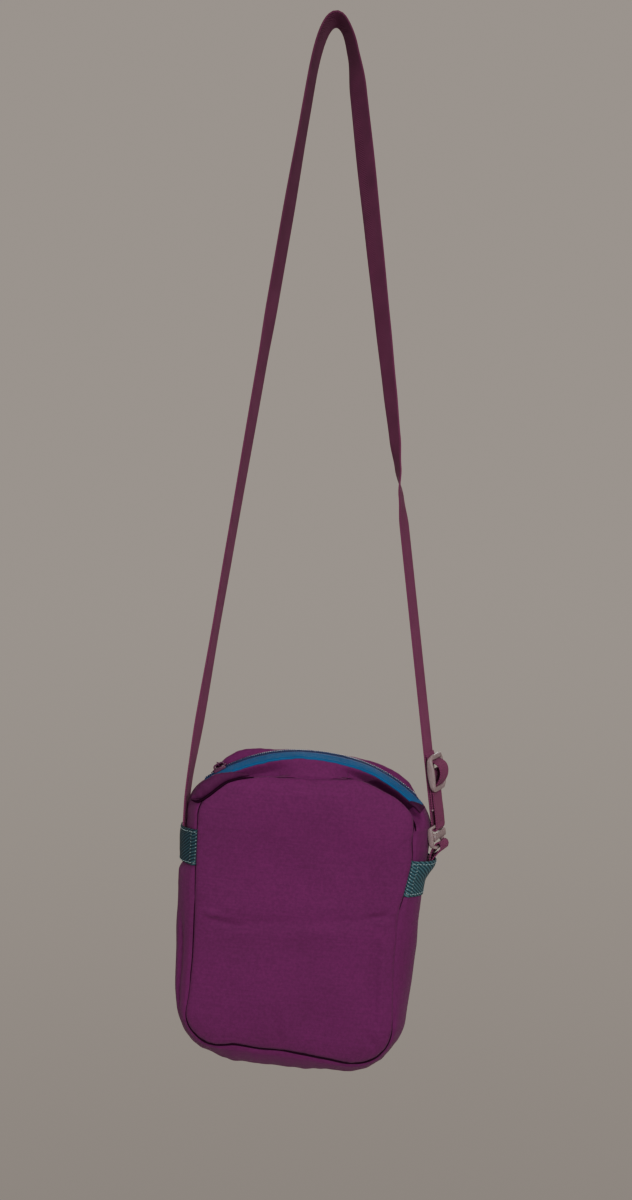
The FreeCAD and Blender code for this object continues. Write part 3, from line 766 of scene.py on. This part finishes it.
def strip_of_side(name, material, start, end, low, high, rows, columns, lift=0.0):
    """A piece of the pouch's side, between two distances along the outline and two parts across."""

    def point(i, j):
        return side_scene_point(start + (end - start) * i, low + (high - low) * j, lift)

    return thicken(grid(name, material, rows, columns, point, (end - start, (high - low) * 24)))


# --- Panels -------------------------------------------------------------------


def crease(x, z, start, end, width, height):
    """The height at x, z of a straight fold between two points, fading at its ends."""
    line = Vector(end) - Vector(start)
    away = Vector((x, z)) - Vector(start)
    along = away.dot(line) / line.length_squared
    off = abs(away.x * line.y - away.y * line.x) / line.length
    return height * bump(off, 0, width) * between(along, -0.2, 0.35, 0.65, 1.2)


# The front panel's folds, each from one point to another, with its width and height (negative: a groove).
# The first six are the slip pocket's top hem and the puckers at its ends.
FRONT_FOLDS = [
    ((-64, 0.5), (-38, -3.5), 2.6, -1.0), ((-70, 4.5), (-52, 3.5), 2.6, 1.0),
    ((-52, -2), (56, 8.5), 4.2, -0.6), ((44, 9), (60, 13), 2.2, -1.2),
    ((50, 6), (64, 8.5), 2.6, 0.8), ((-56, -9), (58, 1), 6.5, 0.5),
    ((56, 2), (60, -70), 3, 0.9), ((51, 0), (55, -68), 3, -0.7), ((-20, 90), (22, 93), 3.5, 0.8),
    ((20, 98), (26, 82), 2.5, -0.9), ((-6, -82), (-14, -52), 3, -0.8), ((58, -76), (48, -66), 2.4, -0.9),
    ((62, -70), (54, -62), 2.4, 0.6),
]


def front_relief(x, z, rim):
    """How far the front panel stands out from its seam, in millimetres. rim is the distance from the seam."""
    rise = 2.6 * (1 - math.exp(-rim / 5.5))
    waves = 1.9 * ripple(x, z, 1, 62) + 1.1 * ripple(x, z, 5, 30) + 0.26 * ripple(x, z, 11, 10)
    hollow = -2.6 * bump(x, -8, 40) * bump(z, 38, 22)
    belly = 1.6 * bump(x, 4, 45) * bump(z, -42, 34)
    shelf = 1.5 * smooth(18, 78, z)
    folds = sum(crease(x, z, *fold) for fold in FRONT_FOLDS)
    return rise + smooth(0, 14, rim) * (waves + hollow + belly + shelf + 1.3 * folds)


def back_relief(x, z, rim):
    """The same for the back panel."""
    rise = 1.6 * (1 - math.exp(-rim / 6))
    waves = 0.9 * ripple(x, z, 21, 55) + 0.4 * ripple(x, z, 25, 26)
    fold = crease(x, z, (-60, 6), (60, 6), 3, 0.8)
    return rise + smooth(0, 14, rim) * (waves - fold)


def pucker(distance, rim):
    """Small gathers that run in from the seam, where the stitches pull the cloth."""
    gathers = ripple(distance * 1.7, 0, 13, 9) + 0.5 * ripple(distance * 3.1, 4, 13, 9)
    return 0.55 * gathers * math.exp(-rim / 7)


def lip(distance):
    """How far a panel's edge bulges out over its seam: most under the zip, some elsewhere."""
    signed = abs(from_top(distance))
    return 1.3 + 2.0 * between(signed, 18, 40, 78, 94) - 0.5 * smooth(230, 280, signed)


# How many points a panel has round its seam.
SEAM_POINTS = 420


def panel(name, side, inset, relief):
    """A front (side -1) or back (side 1) panel: rings of the seam's shape, shrinking toward the middle."""
    rings = 46
    middle = Vector((0, -2))
    vertices = []
    uvs = []
    for ring in range(rings):
        part = (ring / rings) ** 1.15
        for index in range(SEAM_POINTS):
            distance = outline.length * index / SEAM_POINTS
            seam = seam_point(distance, inset(distance))
            place = seam.lerp(middle, part)
            rim = (place - seam).length
            swell = lip(distance) * (rim / 2.6) * math.exp(1 - rim / 2.6)
            place = place + outline.at(distance)[1] * swell
            out = relief(place.x, place.y, rim) + pucker(distance, rim) * smooth(0, 1.5, rim)
            dip = 2.3 * tightness(distance) * math.exp(-rim / 1.1)
            vertices.append(in_pouch(place.x, side * (SEAM_DEPTH + out - dip), place.y))
            uvs.append((place.x * MM, place.y * MM))
    centre_out = relief(middle.x, middle.y, 70)
    vertices.append(in_pouch(middle.x, side * (SEAM_DEPTH + centre_out), middle.y))
    uvs.append((middle.x * MM, middle.y * MM))
    faces = walls(rings, SEAM_POINTS)
    last = (rings - 1) * SEAM_POINTS
    for index in range(SEAM_POINTS):
        faces.append((last + index, last + (index + 1) % SEAM_POINTS, len(vertices) - 1))
    if side < 0:
        faces = [tuple(reversed(face)) for face in faces]
    return thicken(mesh_object(name, vertices, faces, "cloth", uvs))


# --- Webbing ------------------------------------------------------------------


def ribbon(name, points, widths, width=WEBBING_WIDTH, thickness=WEBBING_THICKNESS):
    """Flat webbing along points, in scene coordinates. widths gives the direction across it at each point.
    Its edges are round and a little thicker than its middle."""
    half = width / 2
    rim = thickness / 2
    section = [
        (-half, 0), (-half + 0.25, rim * 0.85), (-half + 1.0, rim * 1.05), (-half * 0.5, rim * 0.9),
        (0, rim * 0.95), (half * 0.5, rim * 0.9), (half - 1.0, rim * 1.05), (half - 0.25, rim * 0.85),
    ]
    section += [(-across, -up) for across, up in section]
    vertices = []
    uvs = []
    for wanted, (place, tangent, run) in zip(widths, walk(points)):
        across = (wanted - tangent * wanted.dot(tangent)).normalized()
        out = tangent.cross(across)
        for side, up in section:
            vertices.append(place + (across * side + out * up) * MM)
            uvs.append((run * MM, side * MM))
    return mesh_object(name, vertices, capped(len(points), len(section)), "webbing", uvs)


def spline_points(name, controls, spacing):
    """Points along a smooth NURBS curve that has these control points, in scene coordinates."""
    data = bpy.data.curves.new(name, "CURVE")
    data.dimensions = "3D"
    spline = data.splines.new("NURBS")
    spline.points.add(len(controls) - 1)
    for item, place in zip(spline.points, controls):
        item.co = (*place, 1)
    spline.order_u = 3
    spline.use_endpoint_u = True
    spline.resolution_u = 24
    curve = bpy.data.objects.new(name, data)
    bpy.context.scene.collection.objects.link(curve)
    bpy.context.view_layer.update()
    line = bpy.data.meshes.new_from_object(curve)
    points = [vertex.co.copy() for vertex in line.vertices]
    bpy.data.objects.remove(curve)
    bpy.data.meshes.remove(line)
    return evenly(points, spacing)


# The strap's route: the CAD's, a little narrower over the peg, with a point close under the peg on each side
# and two on the long straight run above the link.
SIDE_NORMAL = Vector((-math.cos(SIDE_TAPER), 0, -math.sin(SIDE_TAPER)))
SIDE_UP = Vector((-math.sin(SIDE_TAPER), 0, math.cos(SIDE_TAPER)))
TAB_ENTRY = Vector((-SIDE_DISTANCE / math.cos(SIDE_TAPER), 0, 0)) + SIDE_NORMAL * 1.6 + SIDE_UP * 37
PEG_LEFT = Vector((-10.2, 0, -4.9))
PEG_RIGHT = Vector((9.4, 0, -4.9))
SHOULDER_TURN = Vector((-104.2, 0, -543.2))
STRAP_UP = Vector((-math.sin(STRAP_LEAN), 0, math.cos(STRAP_LEAN)))
STRAP_ROUTE = [
    in_pouch(*TAB_ENTRY),
    SHOULDER_TURN * MM,
    SHOULDER_TURN.lerp(PEG_LEFT, 0.09) * MM,
    PEG_LEFT.lerp(SHOULDER_TURN, 0.16) * MM,
    PEG_LEFT * MM,
    PEG_RIGHT * MM,
    PEG_RIGHT.lerp(LINK_POINT, 0.16) * MM,
    (LINK_POINT + STRAP_UP * 205) * MM,
    (LINK_POINT + STRAP_UP * 100) * MM,
    LINK_POINT * MM,
]
# How the webbing is turned about its own line: distance along it in millimetres, and degrees.
STRAP_TURNS = [
    (0, 0), (22, -3), (45, -7), (95, -17), (158, -13), (210, -15), (340, -20), (383, -26), (443, -26),
    (512, -19), (560, -17), (592, -14), (612, -24), (640, -46), (690, -52), (741, -46), (800, -39),
    (845, -32), (880, -24), (900, -10), (920, 16), (940, 28), (1200, 28),
]


def add_strap():
    """The strap: one limp ribbon from the left tab over the peg and down to the link's top bar."""
    points = spline_points("strap_route", STRAP_ROUTE, 2.5)
    widths = []
    for place, tangent, run in walk(points):
        turn = Matrix.Rotation(math.radians(turned(STRAP_TURNS, run)), 3, tangent)
        widths.append(turn @ Y_AXIS)
    piece = belongs(ribbon("strap", points, widths), "root", "webbing", "shoulder_strap")
    tuple(points[0])
    [tuple(place) for place in points]
    print("strap length", round(run, 1))


add_camera()
add_strap()
add_world((0.365, 0.318, 0.278), 1.0)
add_light("key", (0.25, -1.1, -0.1), 0.7, 11, (1.0, 0.96, 0.92))
add_light("fill", (-0.9, -0.7, -0.2), 1.0, 1.5, (0.95, 0.97, 1.0))
add_light("behind", (0.1, 1.3, -0.2), 1.0, 7, (1.0, 0.98, 0.95))

# --- The pouch ----------------------------------------------------------------

ZIP_END = outline.zip_end
# From here on the front strip's right part has a lower band in a darker cloth: painted shade under the
# panel's edge.
SHADE_START = 26
# The side's pieces: name, material, node, from and to along the outline, from and to across, rows, columns
# and lift.
SIDE_PIECES = [
    ("gusset", "cloth", "side_gusset", ZIP_END, outline.length - ZIP_END, -1, 1, 420, 40),
    ("front_strip", "cloth", "front_zip_strip", -ZIP_END, SHADE_START, -1, -TAPE_PART, 110, 18),
    ("back_strip", "cloth", "back_zip_strip", -ZIP_END, ZIP_END, BACK_FOLD, 1, 160, 30),
    ("front_tape", "zip_tape", "front_zip_tape", -ZIP_END, ZIP_END + 5, -TAPE_PART - 0.02, -0.05, 160, 12,
     0.3),
    ("back_tape", "zip_tape", "back_zip_tape", -ZIP_END, ZIP_END, 0.05, BACK_FOLD + 0.02, 160, 12),
]


def strip_end(i, j):
    """The front strip's right end, drawn in over the end of the zip tape, in the painted-shade cloth."""
    low = -TAPE_PART - 0.03
    high = -TAPE_PART + (TAPE_PART - 0.10) * i**1.4
    return side_scene_point(ZIP_END - 4.5 + 11.5 * i, low + (high - low) * j, 0.75)


def strip_part(name, material, low, high):
    """A band of the front strip's right half. low and high give its two edges for a part along it."""

    def point(i, j):
        across = low(i) + (high(i) - low(i)) * j
        return side_scene_point(SHADE_START + (ZIP_END - SHADE_START) * i, across)

    belongs(thicken(grid(name, material, 70, 12, point, (54, 9))), "root", "cloth")


def shade_edge(i):
    """Where the strip's lower part, tucked under the panel's edge and coloured with painted shade, meets its
    open upper part.
    """
    return -0.97 + (0.97 - TAPE_PART) * smooth(0.0, 0.48, i)


belongs(panel("front", -1, front_inset, front_relief), "root", "cloth", "front_panel")
belongs(panel("back", 1, back_inset, back_relief), "root", "cloth", "back_panel")
for name, finish, node, *extent in SIDE_PIECES:
    belongs(strip_of_side(name, finish, *extent), "root", finish, node)
# The lower band and the strip's end are coloured with painted shade.
strip_part("front_strip_under", "cloth_painted_shade", lambda i: -1, shade_edge)
strip_part("front_strip_open", "cloth", shade_edge, lambda i: -TAPE_PART)
belongs(thicken(grid("front_strip_end", "cloth_painted_shade", 24, 14, strip_end, (11.5, 8)), 0.6), "root", "cloth")

# --- Painted-shade seam lines, the fold at the left shoulder, and stitches ----


def seam_line(name, side, inset):
    """A tight dark line of painted shade where a panel's edge meets the gusset."""
    points = []
    for index in range(SEAM_POINTS + 1):
        distance = outline.length * index / SEAM_POINTS
        place = seam_point(distance, inset(distance) - 0.15)
        low = smooth(230, 280, abs(from_top(distance)))
        points.append(in_pouch(place.x, side * (SEAM_DEPTH - 1.55 + 0.8 * low), place.y))

    def radius(part):
        flat_top = 1 - smooth(22, 44, abs(from_top(part * outline.length)))
        pull = tightness(part * outline.length) * (1 - 0.65 * flat_top)
        return (0.72 + 0.3 * ripple(part * 400, 0, 31, 7)) * pull

    belongs(tube(name, points, radius, "seam_shadow"), "root", "thread")


def placed(*places):
    """Places given in the scene, in millimetres."""
    return [Vector(place) * MM for place in places]


def shoulder_roll():
    """The slack cloth of the left shoulder, rolled over the zip's end: a tapered fold with a sharp tip. Its
    darker cloth is painted shade.
    """
    path = placed(
        (-98.2, -15.2, -537.5), (-94.0, -15.6, -535.3), (-89.4, -15.2, -531.6), (-82.2, -14.6, -526.1),
        (-76.6, -13.6, -523.8), (-71.6, -12.6, -522.6), (-65.5, -10.0, -522.2), (-60, -7.5, -523.0),
    )
    middles = [(-98, -15.2), (-82, -14.6), (-71.6, -12.6), (-60, -7.5)]
    sizes = [
        (0, 0.5), (0.06, 1.8), (0.16, 4.0), (0.28, 5.0), (0.44, 4.9), (0.58, 3.8), (0.7, 2.8), (0.85, 1.5),
        (1, 0.4),
    ]

    def radius(part):
        return turned(sizes, part) * (1 + 0.10 * ripple(part * 60, 0, 41, 7))

    roll = tube("shoulder_roll", spline_points("roll", path, 0.7), radius, "cloth_fold_painted_shade", sides=28)
    out = Vector((0.2, -1, 0.4)).normalized()
    for vertex in roll.data.vertices:
        place = vertex.co / MM
        fold = 0.35 * ripple(place.x * 0.5, place.y * 2.2, place.z * 1.4, 6)
        flatter = Y_AXIS * ((turned(middles, place.x) - place.y) * 0.28)
        vertex.co += (out * fold + flatter) * MM
    belongs(roll, "root", "cloth")
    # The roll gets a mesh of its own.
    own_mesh(roll)


def groove(name, centres, sizes):
    """Painted shade: a dark tube in the groove between two folds of cloth. sizes gives its radius in
    millimetres along it.
    """
    belongs(tube(name, centres, lambda part: turned(sizes, part), "seam_shadow", sides=10), "root", "cloth")


def shoulder_valley_shade():
    """Painted shade in the tight groove under the rolled fold, which runs out along the top of the front
    panel.
    """
    path = placed(
        (-98.2, -16.6, -537.9), (-95.4, -17.6, -539.2), (-91.6, -18.2, -538.4), (-86.8, -18.4, -535.3),
        (-81.6, -18.4, -531.3), (-77.4, -18.2, -528.0), (-72.6, -17.8, -525.2), (-65.4, -17.6, -523.4),
        (-56.0, -17.7, -522.7),
    )
    sizes = [(0, 0.3), (0.12, 1.0), (0.45, 1.1), (0.75, 0.9), (1, 0.3)]
    groove("shoulder_valley_shade", spline_points("valley", path, 0.7), sizes)


def edge_groove_shade():
    """Painted shade in the groove between the front panel's rolled edge and the sunk zip strip, on the right."""
    sizes = [(0, 0.2), (0.25, 0.6), (0.8, 1.15), (1, 0.4)]
    groove("edge_groove_shade", side_line(22, 100, -0.91, 0.7, 120), sizes)


def top_stitching(name, across):
    points = side_line(-74, 74, across, 0.15, 240)
    belongs(stitch_run(name, points, "seam_thread", length=2.4, gap=0.8, thickness=0.24), "root", "thread")


seam_line("front_seam_shade", -1, front_inset)
seam_line("back_seam_shade", 1, back_inset)
shoulder_roll()
shoulder_valley_shade()
edge_groove_shade()
top_stitching("front_topstitch", -TAPE_PART - 0.09)
top_stitching("back_topstitch", TAPE_PART + 0.09)

# --- The zip's coils and end tacks --------------------------------------------


COIL_PITCH = 1.45
# A loop of the coil: how far across it is, its height off the tape, and its slant along the zip.
COIL_LOOP = [(0.125, 0.3, 0.2), (0.115, 0.95, 0.12), (0.06, 1.2, 0), (0.0, 1.15, 0), (-0.028, 0.6, 0)]


def coil(name, side, node):
    """One half of the zip's coil: rounded loops of filament that reach past the middle, and a cord through
    them. The two halves are half a pitch apart."""
    margin = 1.2
    start = -ZIP_END + margin + (0 if side < 0 else COIL_PITCH / 2)
    loops = []
    for index in range(int(2 * (ZIP_END - margin) / COIL_PITCH)):
        distance = start + index * COIL_PITCH
        centres = [side_scene_point(distance + slant, side * part, lift) for part, lift, slant in COIL_LOOP]
        loops.append(tube("loop", centres, lambda part: 0.58 + 0.1 * part, "zip_coil"))
    cord_line = side_line(-ZIP_END, ZIP_END, side * 0.12, 0.75, 200)
    loops.append(tube("filler", cord_line, lambda part: 0.62, "zip_coil"))
    belongs(join(name, loops), "root", "zip_coil", node)


def end_tacks():
    """A bar of close stitches across the zip just past each of its ends."""
    stitches = []
    for end in (-1, 1):
        for row in range(6):
            distance = end * (ZIP_END + 0.5 + 0.42 * row)
            reach = 0.22 + 0.015 * (row % 2)
            centres = [side_scene_point(distance, -reach + 2 * reach * part / 8, 0.45) for part in range(9)]
            stitches.append(tube("tack", centres, lambda part: 0.24, "thread"))
    belongs(join("end_tacks", stitches), "root", "thread", "zip_end_tacks")


coil("front_coil", -1, "front_zip_coil")
coil("back_coil", 1, "back_zip_coil")
end_tacks()

# --- Side tabs ----------------------------------------------------------------

SIDE_START = outline.pieces[0][0] + outline.pieces[1][0]
SIDE_TOP = outline.pieces[2][1].y


def side_distance(side, height):
    """The distance along the outline to a height on its right (1) or left (-1) side."""
    distance = SIDE_START + (SIDE_TOP - height) / math.cos(SIDE_TAPER)
    return distance if side > 0 else outline.length - distance


def side_tab(name, side, low, high, pull, node):
    """A tape wrapped over the gusset from seam to seam, with turned ends. The webbing pulls its top out."""

    def lift(part, across):
        hem = 0.45 * between(abs(across), 0.80, 0.84, 0.97, 1.0)
        share = smooth(0.3, 1.0, part) if side > 0 else 1
        drawn = pull * share * math.exp(-((across + 0.02) / 0.74) ** 4)
        swell = 0.5 * math.sin(math.pi * part) * (1 - abs(across))
        swell += 0.2 * ripple(part * 25, across * 18, 51, 8)
        return 1.5 + hem + drawn + swell - 0.6 * smooth(0.94, 1.0, abs(across))

    def point(i, j, extra=0.0):
        across = -1.03 + 2.05 * j
        spread = low + (high - low) * i
        return side_scene_point(side_distance(side, spread), max(-1, min(1, across)), lift(i, across) + extra)

    def zigzag(inner, outer):
        return [point(0.06 + 0.88 * index / 18, outer if index % 2 else inner, 0.25) for index in range(19)]

    def hem_line(part):
        return [point(part, 0.05 + 0.9 * index / 60, 0.2) for index in range(61)]

    # The left tab takes the tape's darker copy: painted shade.
    colour = "teal_tape" if side > 0 else "teal_tape_painted_shade"
    tape = thicken(grid(name, colour, 40, 90, point, (high - low, 44)), 0.8, -side)
    belongs(tape, "root", "teal_tape", node)
    rows = [zigzag(0.10, 0.045), hem_line(0.07), hem_line(0.93), zigzag(0.90, 0.955)]
    stitches = [stitch_run("row", row, "thread", length=1.5, gap=0.9, thickness=0.22) for row in rows]
    belongs(join(name + "_stitches", stitches), "root", "thread")


side_tab("left_tape_tab", -1, 34, 58, 2.6, "left_tab")
side_tab("right_tape_tab", 1, 25, 49.5, 5.6, "right_tab")

# --- Link, adjuster and the webbing on them -----------------------------------

LINK_WIDTH_AXIS = link_matrix.to_3x3() @ Y_AXIS
# The radius of the webbing's middle where it turns round a bar.
BAR_WRAP = 1.75
# How many sides a moulded bar's section has.
SECTION_SIDES = 16


def link_ribbon(name, path, width=WEBBING_WIDTH):
    """Webbing along a flat path of places x, z in the link's frame."""
    points = spline_points(name + "_path", [in_link(x, 0, z) for x, z in path], 0.6)
    return ribbon(name, points, [LINK_WIDTH_AXIS] * len(points), width=width)


def bend_round(x, z, start, end, radius=BAR_WRAP):
    """Places on an arc about x, z, between two bearings in degrees, 0 outward and 90 up."""
    turns = [math.radians(start + (end - start) * step / 8) for step in range(9)]
    return [(x + radius * math.cos(turn), z + radius * math.sin(turn)) for turn in turns]


def rounded_section(along, across, reach_along, reach_across):
    """Places round a bar's section: between a box and an ellipse."""
    places = []
    for index in range(SECTION_SIDES):
        turn = 2 * math.pi * index / SECTION_SIDES
        side = math.copysign(abs(math.cos(turn)) ** 0.75, math.cos(turn))
        up = math.copysign(abs(math.sin(turn)) ** 0.75, math.sin(turn))
        places.append(along * (side * reach_along) + across * (up * reach_across))
    return places


def swept(name, frames, closed):
    """A moulded bar through frames of centre, axis, axis, reach and reach, all in the link's frame."""
    vertices = []
    for centre, along, across, reach_along, reach_across in frames:
        for offset in rounded_section(along, across, reach_along, reach_across):
            vertices.append(in_link(*(centre + offset)))
    rings = len(frames)
    faces = walls(rings, SECTION_SIDES, True) if closed else capped(rings, SECTION_SIDES)
    return mesh_object(name, vertices, faces, "clear_plastic")


def moulded_ring(name, low, high, side, bar, places):
    """A ring of two bars across the webbing and two side members. side and bar give a half-size in the ring's
    plane and one out of it. places(z, part_side) gives how far out the ring lies there."""
    corner = 3.0
    reach = 9.6 - corner
    centres = ((reach, high - corner), (-reach, high - corner), (-reach, low + corner), (reach, low + corner))
    loop = []
    for quarter, (y, z) in enumerate(centres):
        loop += [Vector(place) for place in bend_round(y, z, 90 * quarter, 90 * quarter + 90, corner)]
    dense = []
    for index, place in enumerate(loop):
        following = loop[(index + 1) % len(loop)]
        pieces = max(1, round((following - place).length / 0.8))
        dense += [place.lerp(following, step / pieces) for step in range(pieces)]
    frames = []
    for index, place in enumerate(dense):
        tangent = (dense[(index + 1) % len(dense)] - dense[index - 1]).normalized()
        upright = smooth(0.3, 0.95, abs(tangent.y))
        bulge = math.sin(math.pi * min(1, max(0, (place.y - low) / (high - low))))
        breadth = bar[0] + (side[0] - bar[0]) * upright
        out = bar[1] + (side[1] * (0.55 + 0.45 * bulge) - bar[1]) * upright
        centre = Vector((places(place.y, upright), place.x, place.y))
        frames.append((centre, Vector((0, tangent.y, -tangent.x)), X_AXIS, breadth, out))
    return swept(name, frames, True)


def cross_bar(name, x, z, reach, out):
    """A bar across a ring, thicker at its ends. reach and out are its half-sizes up and outward."""
    half_length = 9.4
    frames = []
    for step in range(25):
        part = step / 12 - 1
        swell = 1 + 0.25 * part**4
        frames.append((Vector((x, half_length * part, z)), Z_AXIS, X_AXIS, reach * swell, out * swell))
    return swept(name, frames, False)


def add_link():
    ring = moulded_ring("link_ring", -14.4, 0, (1.3, 2.1), (1.0, 1.0), lambda z, upright: 1.7 - 2.3 * upright)
    bar = cross_bar("link_bar", 1.9, -7, 2.3, 0.9)
    belongs(join("link", [ring, bar]), "root", "clear_plastic", "strap_link")


def add_adjuster():
    """The adjuster, whose lower end leans a little toward the strap."""

    def out(z, upright):
        return 5.2 - (0.3 + 0.6 * (z - 25) / 22) * upright

    ring = moulded_ring("adjuster_ring", 25.2, 46.9, (1.4, 2.7), (1.7, 1.15), out)
    bar = cross_bar("adjuster_bar", 3.2, 36, 1.0, 1.0)
    belongs(join("adjuster", [ring, bar]), "adjuster", "clear_plastic", "strap_adjuster")


def add_link_webbing():
    """The strap's turn round the link's top bar, the strand that comes back up, the end that is sewn round
    the adjuster's middle bar, and the bight that bulges through the adjuster."""
    bend = [(x, z * 1.8) for x, z in bend_round(1.7, 0, 180, 360)]
    turn = [(0.05, 4), (0, 1)] + bend + [(3.4, 1), (3.45, 3)]
    belongs(link_ribbon("strap_turn", turn), "root", "webbing")
    strand = link_ribbon("strand", [(3.45, 2), (3.6, 8), (3.3, 15), (3.4, 23)])
    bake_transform(strand)
    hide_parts("strap_return")
    loop = [(1.5, 11.2), (1.5, 18), (1.6, 27), (1.6, 34)] + bend_round(3.2, 36, 180, 0)
    loop += [(4.9, 33.6), (3.6, 29.6), (3.3, 26), (3.4, 22)]
    belongs(link_ribbon("end_loop", loop, 14.8), "adjuster", "webbing", "strap_end_loop")
    tail = [in_link(1.45 + 0.15 * math.cos(step), -7.3 + 14.6 * step / 20, 11.2) for step in range(21)]
    belongs(tube("tail_end", tail, lambda part: 0.72, "webbing_end", sides=8), "adjuster", "webbing")
    bight = [
        (0.9, 50), (1.2, 47.4), (3.2, 44.6), (6.8, 43.4), (9.7, 41.0), (10.5, 37.4), (10.0, 34.0), (8.6, 31),
        (6.7, 28.8), (5.1, 27.2),
    ]
    belongs(link_ribbon("strap_bight", bight, 14.4), "adjuster", "webbing")


def add_anchor():
    """The doubled webbing from the right tab, round the link's bottom bar and back."""
    up = Vector((math.sin(SIDE_TAPER), 0, math.cos(SIDE_TAPER)))
    out = Vector((math.cos(SIDE_TAPER), 0, -math.sin(SIDE_TAPER)))
    base = Vector((SIDE_DISTANCE / math.cos(SIDE_TAPER), 0, 0))

    def beside(away, height):
        return in_pouch(*(base + out * away + up * height))

    near = [beside(1.3 + drawn, height) for height, drawn in ((42, 0), (46, 0.3), (50, 1.3))]
    far = [beside(2.6 + drawn, height) for height, drawn in ((50, 1.5), (46, 0.4), (42, 0))]
    centre = in_link(1.7, 0, -14.4)
    toward = (near[-1] - centre).normalized()
    side = toward.cross(LINK_WIDTH_AXIS).normalized()
    if side.dot(in_link(1, 0, 0) - in_link(0, 0, 0)) > 0:
        side = -side
    around = []
    for step in range(9):
        turn = math.pi * step / 8
        offset = side * (math.cos(turn) * (BAR_WRAP + 0.14 * step)) - toward * (math.sin(turn) * 3.1)
        around.append(centre + offset * MM)
    swell = far[0].lerp(around[-1], 0.5) + Vector((1.2, 0, 0.5)) * MM
    controls = near + [near[-1].lerp(around[0], 0.55)] + around + [swell] + far
    points = spline_points("anchor_path", controls, 0.7)
    # It leaves the tab flat against the pouch and turns to the link's width just above it.
    foot = near[-1].z
    widths = [Y_AXIS.lerp(LINK_WIDTH_AXIS, smooth(foot - 0.003, foot + 0.005, point.z)) for point in points]
    belongs(ribbon("anchor", points, widths, width=14.6, thickness=1.1), "root", "webbing", "anchor_webbing")


add_link()
add_adjuster()
add_link_webbing()
add_anchor()

# --- The zip's slider and pull ------------------------------------------------

# The slider stands at the left end of the zip. Its pull turns on a pivot this far from the zip's centre, and
# droops toward the back.
slider_matrix = pouch_matrix @ Matrix.Rotation(-math.radians(33), 4, "Y")
PULL_PIVOT = 119.8
pull_matrix = (slider_matrix @ Matrix.Translation((0, 0, PULL_PIVOT * MM))
               @ Matrix.Rotation(-math.radians(14), 4, "X"))


def rounded_block(name, matrix, centre, half, taper=0.0):
    """A cast block with rounded edges, narrower toward its two x ends by taper."""
    roundness = 6
    builder = bmesh.new()
    bmesh.ops.create_cube(builder, size=2)
    bmesh.ops.subdivide_edges(builder, edges=builder.edges[:], cuts=7, use_grid_fill=True)
    for vertex in builder.verts:
        reach = sum(abs(value) ** roundness for value in vertex.co) ** (1 / roundness)
        place = vertex.co / reach
        place.y *= 1 - taper * place.x * place.x
        vertex.co = matrix @ ((Vector(centre) + place * Vector(half)) * MM)
    return built_object(name, builder, materials["slider_metal"])


def add_slider():
    """Two rounded plates, a post between them, flanges, and an arch for the pull."""
    parts = [
        rounded_block(name, slider_matrix, (0, y, TOP_RADIUS + z), half, taper)
        for name, y, z, half, taper in (
            ("top_plate", 0, 2.15, (5, 4.2, 0.55), 0.22), ("bottom_plate", 0, -2.15, (5, 4.2, 0.55), 0.22),
            ("post", 0, 0, (2, 0.5, 2), 0.0), ("near_flange", -3.6, 1.2, (4.4, 0.55, 0.8), 0.0),
            ("far_flange", 3.6, 1.2, (4.4, 0.55, 0.8), 0.0),
        )
    ]
    foot = TOP_RADIUS + 2.3
    arch = []
    for step in range(25):
        turn = math.pi * step / 24
        x = 3.7 * math.copysign(abs(math.cos(turn)) ** 0.5, math.cos(turn))
        arch.append(slider_matrix @ (Vector((x, 0, foot + (PULL_PIVOT - foot) * math.sin(turn) ** 0.5)) * MM))
    parts.append(tube("arch", arch, lambda part: 0.62, "slider_metal", sides=12))
    belongs(join("slider", parts), "slider", "slider_metal", "zip_slider")


def add_pull():
    """A flat pull with an eye, a waist, and grip ridges across its blade."""
    ring = []
    for step in range(33):
        turn = 2 * math.pi * step / 32
        ring.append(pull_matrix @ (Vector((0, 1.35 * math.cos(turn) + 0.1, 1.35 * math.sin(turn))) * MM))
    parts = [
        tube("eye", ring, lambda part: 0.5, "slider_metal", sides=10),
        rounded_block("stem", pull_matrix, (0, 3.4, 0), (1.4, 1.9, 0.6)),
        rounded_block("blade", pull_matrix, (0, 11.6, 0), (3.5, 7.4, 0.68)),
    ]
    for row in range(5):
        parts.append(rounded_block("ridge", pull_matrix, (0, 8.4 + 1.9 * row, 0), (2.5, 0.45, 0.9)))
    belongs(join("pull", parts), "pull", "slider_metal", "zip_pull")


add_slider()
add_pull()

# --- Floor and end ------------------------------------------------------------


def add_floor():
    builder = bmesh.new()
    bmesh.ops.create_circle(builder, cap_ends=True, segments=96, radius=1.2)
    floor = built_object("floor", builder, materials["floor"])
    floor.location = (0, 0, -1.6)


def dress_frame():
    """Gives every CAD node that still shows the material of its slot."""
    slots = {part["node"]: part["material_slot"] for part in frame["record"]["subparts"]}
    for name, item in frame["nodes"].items():
        for index in range(len(item.material_slots)):
            item.material_slots[index].material = materials[slots[name]]


add_floor()
dress_frame()
